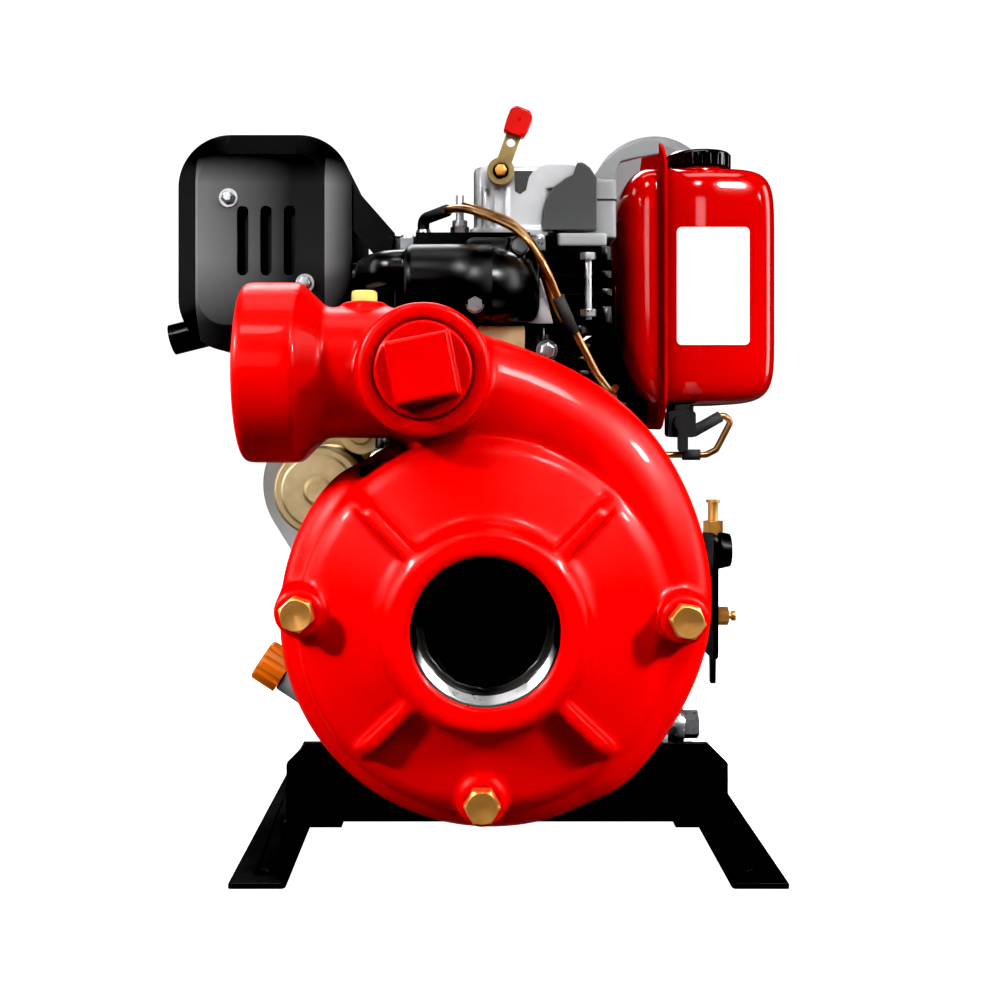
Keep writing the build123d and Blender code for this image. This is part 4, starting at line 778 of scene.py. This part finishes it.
def tank_seam():
    """Crimped flange between the halves, with its raised mounting ear."""
    front, back = TANK_LOW.y, TANK_HIGH.y
    bottom, top = TANK_LOW.z, TANK_HIGH.z
    corners = [(front, bottom + 23), (front + 30, bottom), (back - 26, bottom), (back, bottom + 27),
               (back, top - 50), (back - 28, top - 26), (back - 66, top), (back - 88, top),
               (front + 22, top - 19), (front, top - 38)]
    outline = []
    for before, corner, after in zip(corners[-1:] + corners[:-1], corners, corners[1:] + corners[:1]):
        run = rounded_path([(*before, 0), (*corner, 0), (*after, 0)], 12.0, 6)
        outline += [(point.x, point.y) for point in run[1:-1]]
    flange = prism("tank_seam", outline, (SEAM_X - SEAM_THICK / 2, 0, 0), BACK, UP, SEAM_THICK,
                   "tank_red", material="enamel_edge", smooth=False, bevel=0.9)
    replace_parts(flange, "fuel_tank")


def tank_neck():
    """Filler neck under the cap."""
    cap_low, cap_high = corners_of("fuel_cap")
    place = ((cap_low.x + cap_high.x) / 2, (cap_low.y + cap_high.y) / 2, cap_low.z - 8.0)
    profile = [(0, 0), (24, 0), (24, 5.2), (22, 6.4), (20, 7.2), (20, 13.4), (17, 13.4), (17, 2),
               (0, 2)]
    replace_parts(lathe("tank_neck", place, UP, profile, "tank_red"), "fuel_tank")


def tank_sticker():
    """Blank sticker on the tank's front."""
    place = (SEAM_X + 10.0, TANK_MID_Y - TANK_HALF_Y + 0.35, TANK_MID_Z - 48.5)
    front_plate("tank_sticker", rounded_rectangle(57.5, 93.0, 4.0), place, 0.7, "grey_paint",
                material="sticker", bevel=0.0)


def tank():
    tank_half("tank_right_half", TANK_HIGH.x - SEAM_X, 8.0)
    tank_half("tank_left_half", TANK_LOW.x - SEAM_X, 3.4, 0.45)
    tank_seam()
    tank_neck()
    tank_sticker()


# ------------------------------------------------------------- decompression lever
LEVER_FRONT_Y = corners_of("decompression_lever")[0].y
LEVER_LEAN = Matrix.Rotation(math.radians(20), 3, "Y")


def lever_tip():
    """Moulded tip over the end of the decompression lever."""
    outline = [(-8.2, 28), (-2, 27.2), (7.6, 28), (8.9, 36), (9.0, 44.5), (5.5, 48.6), (-5.5, 48.8),
               (-8.6, 45.5), (-8.9, 37)]
    place = (LEVER_PIVOT.x, LEVER_FRONT_Y + 9.4, LEVER_PIVOT.z)
    prism("lever_tip", outline, place, LEVER_LEAN @ RIGHT, LEVER_LEAN @ UP, 10.2, "tank_red",
          material="red_plastic", body="decompressor", bevel=1.6)


def lever_screw():
    """Brass screw that the lever turns on."""
    place = (LEVER_PIVOT.x, LEVER_FRONT_Y + 3.0, LEVER_PIVOT.z)
    cap_screw("lever_screw", place, 8.5, 3.6, slot="brass", body="decompressor")


# -------------------------------------------------------------------- brass plugs
PLUG_SIDES = 72
PLUG_SHANK_R = 6.4
PLUG_CUTS = 22
PLUG_DISH = 0.9


def plug_head(name, seat, direction, across, height, turn):
    """Hexagon plug whose outer face is turned to fine rings round a shallow cone."""
    axis, side, up = axes_of(direction)
    flat = across / 2

    def ring(limit, level):
        spots = []
        for k, spoke in enumerate(spokes(side, up, PLUG_SIDES)):
            off = (360 * k / PLUG_SIDES - turn + 30) % 60 - 30
            reach = min(flat / math.cos(math.radians(off)), limit)
            spots.append(Vector(seat) + axis * level + spoke * reach)
        return spots

    corner = flat * 1.16
    rings = [ring(PLUG_SHANK_R, -11), ring(PLUG_SHANK_R, -0.2), ring(corner, -0.2),
             ring(corner, height - 1.3), ring(flat, height - 0.25), ring(flat * 0.94, height)]
    for i in range(PLUG_CUTS):
        radius = flat * 0.9 * (1 - i / PLUG_CUTS)
        dish = PLUG_DISH * (1 - radius / flat)
        ridge = 0.05 * (i % 2)
        rings.append(ring(radius, height - dish + ridge))
    rings.append(ring(0.05, height - PLUG_DISH))
    head = piece(name, *skin(rings), "brass", smooth=False)
    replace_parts(head, "brass_plugs")


def brass_plugs():
    """Three plugs round the suction port and the priming plug over the discharge."""
    around_port = ((109.6, 175.2, 12), (101.6, 268.9, 30), (116.9, 2.5, 22))
    for number, (radius, degrees, turn) in enumerate(around_port):
        a = math.radians(degrees)
        seat = in_mm(SUCTION) + RIGHT * radius * math.cos(a) + UP * radius * math.sin(a)
        plug_head(f"cover_plug_{number}", seat, -BACK, 18.6, 10.0, turn)
    plug_head("priming_plug", in_mm(DISCHARGE) + Vector((57.2, 0, 43.5)), UP, 15.2, 6.4, 10)


# ------------------------------------------------------------- sheet and small castings
def shield_screws():
    low, high = corners_of("muffler_shield")
    for number, (right, down) in enumerate(((41.5, 51.0), (98.5, 114.5))):
        place = (low.x + right, low.y - 1.2, high.z - down)
        cap_screw(f"shield_screw_{number}", place, 9.0, 5.0, turn=14 + 40 * number, washer=1.35)


def side_shroud():
    """Black sheet that fills the space between head and tank."""
    barrel = corners_of("cylinder_barrel")[1]
    crankcase = corners_of("crankcase")[1]
    outline = [(0, 0), (61, 0), (66.4, 45), (66.4, 152), (28, 152), (22, 140), (22, 95), (0, 80)]
    place = (barrel.x - 5.0, barrel.y - 1.0, crankcase.z)
    front_plate("side_shroud", outline, place, 3.0, "black_heat")


def rocker_side():
    """Dark grey plate beside the rocker cover: painted shade, standing for the cover's shaded curved side."""
    low, high = corners_of("rocker_cover")
    outline = [(0, 0), (0.5, 14), (2.7, 23), (8.4, 32.7), (16.8, 38.8), (22.9, 41.8), (25.7, 50.6),
               (30.3, 50.6), (35.2, 47), (40.5, 39), (40.5, 0)]
    place = (high.x - 30.1, low.y + 3.8, low.z + 4.0)
    front_plate("rocker_side", outline, place, 3.4, "cast_iron", bevel=1.2, material="dark_grey")


def rocker_recess():
    """Dark grey plate on the rocker cover's front: painted shade, standing for a shaded hollow."""
    low = corners_of("rocker_cover")[0]
    outline = [(0, 17.5), (14.1, 17.5), (10.9, 12.7), (8.7, 3), (4.2, 0), (0.5, 2.3)]
    place = low + Vector((33.4, 5.1, 31.5))
    front_plate("rocker_recess", outline, place, 0.5, "aluminium", bevel=0.15,
                material="dark_grey")


def air_tube_cowl():
    """Air tube that rises behind the intake's riser."""
    low = corners_of("intake_elbow")[0]
    outline = [(0, 0), (2, 11), (8, 22), (18, 36), (30, 46), (46, 53), (62, 55), (62, 42), (44, 39),
               (32, 36), (28.5, 28), (28.5, 0)]
    front_plate("air_tube_cowl", outline, low + Vector((23, 77, 40)), 5.0, "aluminium", bevel=1.5,
                material="shaded_grey")


def intake_gasket():
    """Gasket between the intake's flange and its riser."""
    low = corners_of("intake_elbow")[0]
    prism("intake_gasket", rounded_rectangle(25.8, 52.8, 4.2), low + Vector((20.6, 18.6, 36.6)),
          RIGHT, BACK, 1.5, "gasket", smooth=False)


# ---------------------------------------------------------------- front of the head
HEAD_LOW, HEAD_HIGH = corners_of("cylinder_head")
STUD_FOOT = Vector((HEAD_HIGH.x - 18.5, HEAD_LOW.y - 3.3, HEAD_LOW.z + 2.0))
STUD_HEIGHT = 46.0
STUD_ROWS = 64


def head_plates():
    """Exhaust flange plate, and the lifting plate with its screw below it."""
    flange = [(0, 0), (65, 0), (62, 12.8), (56, 32.8), (0, 32.8)]
    front_plate("exhaust_plate", flange, HEAD_LOW + Vector((53, -0.2, -0.8)), 3.2, "aluminium")
    front_plate("lifting_plate", rounded_rectangle(34.5, 21.3, 1.5),
                HEAD_LOW + Vector((63, 1.7, -23.5)), 3.0, "gold_zinc", bevel=0.6)
    cap_screw("lifting_screw", HEAD_LOW + Vector((113.5, 0.8, -20.5)), 11.0, 6.0, turn=20)


def intake_stud():
    """Threaded stud with two nuts."""
    last = STUD_ROWS - 1
    thread = [(2.9 if i % 2 else 2.45, STUD_HEIGHT * i / last) for i in range(STUD_ROWS)]
    profile = [(0, 0)] + thread + [(0, STUD_HEIGHT)]
    lathe("intake_stud", STUD_FOOT, UP, profile, "bright_zinc", sides=24)
    for number, height in enumerate((2.0, 43.0)):
        prism(f"intake_nut_{number}", hexagon(6.2, 12), STUD_FOOT + UP * height, RIGHT, BACK, 5.5,
              "bright_zinc", smooth=False, bevel=0.5)


# ------------------------------------------------------------- pipes, hoses and rope
INJECTOR_UNION = corners_of("injector")[0] + Vector((6, 6, 72))
COCK_OUTLET = corners_of("fuel_cock")[0] + Vector((19, 5, 4.5))
INJECTION_RUN = [(0, 0, 0), (0, 0, 11), (30, -38, 12), (58, -58, -1), (76, -85, -15), (90, -89, -39),
                 (101, -80, -64), (113, -74, -86), (129, -69, -116), (139, -62, -127),
                 (149, -2, -122), (149, 12, -125), (149, 12, -133)]
LEAK_OFF_RUN = [(28, 14, 18), (31, 0, 21), (43, -40, 11), (71, -62, -3), (87, -72, -28),
                (93, -68, -53), (103, -62, -76)]


def injection_pipes():
    """Injection and leak-off pipes, bent in long sweeps, with their rubber sleeves."""
    line = tube("injection_line", INJECTOR_UNION, INJECTION_RUN, 2.9, "copper", bend=14)
    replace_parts(line, "injection_pipe")
    tube("leak_off_line", INJECTOR_UNION, LEAK_OFF_RUN, 1.7, "copper", bend=14)
    sleeve = [(0, 0, -2), (0, 0, 8.5), (19, -24, 11.6)]
    tube("leak_off_sleeve", INJECTOR_UNION, sleeve, 4.6, "black_rubber")
    clamp = [(99.5, -80.9, -59), (111, -74.6, -85)]
    tube("pipe_clamp", INJECTOR_UNION, clamp, 4.4, "black_rubber", bend=1)


def fuel_hoses():
    """Two short rubber hoses over the fuel pipe, beside the fuel cock."""
    upper = [(0, 0, 0), (8, 0, 3.5), (23.5, 0, 12.3)]
    tube("fuel_hose", COCK_OUTLET, upper, 4.6, "black_rubber")
    lower = [(7, 0, -18.5), (-7, 0, -18.5)]
    tube("fuel_hose_lower", COCK_OUTLET, lower, 4.3, "black_rubber", bend=1)


ROPE_R = 2.4
ROPE_LENGTH = 48.0
ROPE_ROWS = 24


def starter_rope():
    """The starting rope: a straight length below the pull handle, tied to no body."""
    low, high = corners_of("pull_handle")
    end = Vector(((low.x + high.x) / 2, (low.y + high.y) / 2, low.z + 6.0))
    rows = [(ROPE_R, ROPE_LENGTH * i / ROPE_ROWS) for i in range(ROPE_ROWS + 1)]
    profile = [(0, 0)] + rows + [(0, ROPE_LENGTH)]
    rope = lathe("starter_rope", end - UP * ROPE_LENGTH, UP, profile, "black_rubber",
                 sides=TUBE_SIDES, body=None)
    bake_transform(rope)


# --------------------------------------------------------------------------- exhaust
def exhaust():
    """The elbow's full-bore barrel, and the sheet between exhaust and head."""
    low, high = corners_of("exhaust_manifold")
    profile = [(0, 0), (19, 0), (22.6, 0.7), (25.2, 2.8), (26.2, 6.5), (26.3, 30), (26.1, 62),
               (0, 62)]
    place = (low.x + 50.5, high.y - 90.5, high.z - 35.5)
    lathe("exhaust_barrel", place, RIGHT, profile, "black_paint")
    guard = [(0, 0), (72, 0), (72, 45), (38, 50), (0, 44)]
    place = (low.x + 11.5, high.y - 4.5, low.z + 11.0)
    front_plate("exhaust_guard", guard, place, 2.5, "black_heat")


# ---------------------------------------------------------------------------- studio
SURROUND_COLOUR = (0.97, 0.97, 0.98, 1.0)
SURROUND_LIGHT = 0.025
SHADOW_CUT = 0.014
FLOOR_SIZE = 14.0
FLOOR_GLOW = 0.9
CENTRE = (0.0, -0.2, 0.3)
WIDE = 180

# (name, place, aim, size, watts, spread in degrees)
LIGHTS = (
    ("left_key", (-1.0, -0.86, 0.86), (-0.12, -0.33, 0.22), (0.14, 0.14), 1.02, 36),
    ("right_key", (1.0, -0.86, 0.86), (0.12, -0.33, 0.22), (0.14, 0.14), 0.98, 36),
    ("high_left", (-0.5, -1.3, 1.7), (-0.05, -0.2, 0.42), (0.3, 0.3), 0.75, 70),
    ("high_right", (0.6, -1.3, 1.5), (0.16, -0.1, 0.43), (0.3, 0.3), 1.4, 40),
    ("left_strip", (-1.6, 0.1, 0.7), CENTRE, (0.5, 1.3), 7, WIDE),
    ("right_strip", (1.6, -0.2, 0.7), CENTRE, (0.55, 1.3), 9, WIDE),
    ("front_box", (-0.95, -3.0, 1.05), (-0.2, -0.1, 0.45), (0.9, 0.9), 7, WIDE),
    ("top_box", (0.0, -0.2, 1.9), CENTRE, (1.2, 0.6), 6, WIDE),
    ("back_box", (-0.4, 1.6, 2.1), CENTRE, (1.4, 0.9), 26, WIDE),
)

CAMERA_PLACE = (SHAFT.x - 6 * MM, -1.1, 0.32)
CAMERA_LENS = 47.4
CAMERA_SENSOR = 36.0
CAMERA_SHIFT = (0.025, -0.079)


def surround():
    """A white surround to the camera, which hardly lights the object."""
    world = bpy.data.worlds.new("surround")
    world.use_nodes = True
    tree = world.node_tree
    seen = tree.nodes.new("ShaderNodeLightPath").outputs["Is Camera Ray"]
    level = tree.nodes.new("ShaderNodeMapRange")
    level.inputs["To Min"].default_value = SURROUND_LIGHT
    level.inputs["To Max"].default_value = 1.0
    tree.links.new(seen, level.inputs["Value"])
    tree.links.new(level.outputs["Result"], tree.nodes["Background"].inputs["Strength"])
    tree.nodes["Background"].inputs["Color"].default_value = SURROUND_COLOUR
    bpy.context.scene.world = world


def tone():
    """A little more contrast, with the deepest shadows cut to black."""
    settings = bpy.context.scene.view_settings
    settings.view_transform = "Standard"
    settings.look = "Medium High Contrast"
    settings.use_curve_mapping = True
    settings.curve_mapping.black_level = (SHADOW_CUT,) * 3
    settings.curve_mapping.update()


def pale_floor():
    """A floor that looks white, but throws only a dim light back at the object."""
    bpy.ops.mesh.primitive_plane_add(size=FLOOR_SIZE, location=(0, 3.0, -0.0005))
    floor = bpy.context.object
    floor.name = "floor"
    s = Shader("floor", (0.9, 0.9, 0.91), 0.6)
    s.vary(s.noise(0.4, 2.0), 0.55, 0.65)
    seen = s.add("ShaderNodeLightPath").outputs["Is Camera Ray"]
    s.mix(s.math("SUBTRACT", 1.0, seen), (0.12, 0.12, 0.12))
    s.link((1.0, 1.0, 1.0), s.bsdf.inputs["Emission Color"])
    s.link(s.math("MULTIPLY", seen, FLOOR_GLOW), s.bsdf.inputs["Emission Strength"])
    floor.data.materials.append(s.material)


def area_light(name, place, aim, size, power, spread):
    data = bpy.data.lights.new(name, "AREA")
    data.shape = "RECTANGLE"
    data.size, data.size_y = size
    data.energy = power
    data.spread = math.radians(spread)
    light = bpy.data.objects.new(name, data)
    bpy.context.scene.collection.objects.link(light)
    light.location = place
    light.rotation_euler = (Vector(aim) - Vector(place)).to_track_quat("-Z", "Y").to_euler()


def camera():
    """The camera looks along the shaft, level, at the suction port."""
    data = bpy.data.cameras.new("camera")
    data.lens = CAMERA_LENS
    data.sensor_width = CAMERA_SENSOR
    data.shift_x, data.shift_y = CAMERA_SHIFT
    obj = bpy.data.objects.new("camera", data)
    bpy.context.scene.collection.objects.link(obj)
    obj.location = CAMERA_PLACE
    obj.rotation_euler = (math.radians(90), 0, 0)
    bpy.context.scene.camera = obj


def studio():
    """White surround, pale floor, lights and camera."""
    surround()
    tone()
    pale_floor()
    for settings in LIGHTS:
        area_light(*settings)
    camera()


dress_nodes()
port_threads()
tank()
lever_tip()
shield_screws()
brass_plugs()
side_shroud()
rocker_side()
rocker_recess()
air_tube_cowl()
head_plates()
intake_stud()
intake_gasket()
injection_pipes()
starter_rope()
exhaust()
lever_screw()
fuel_hoses()
studio()
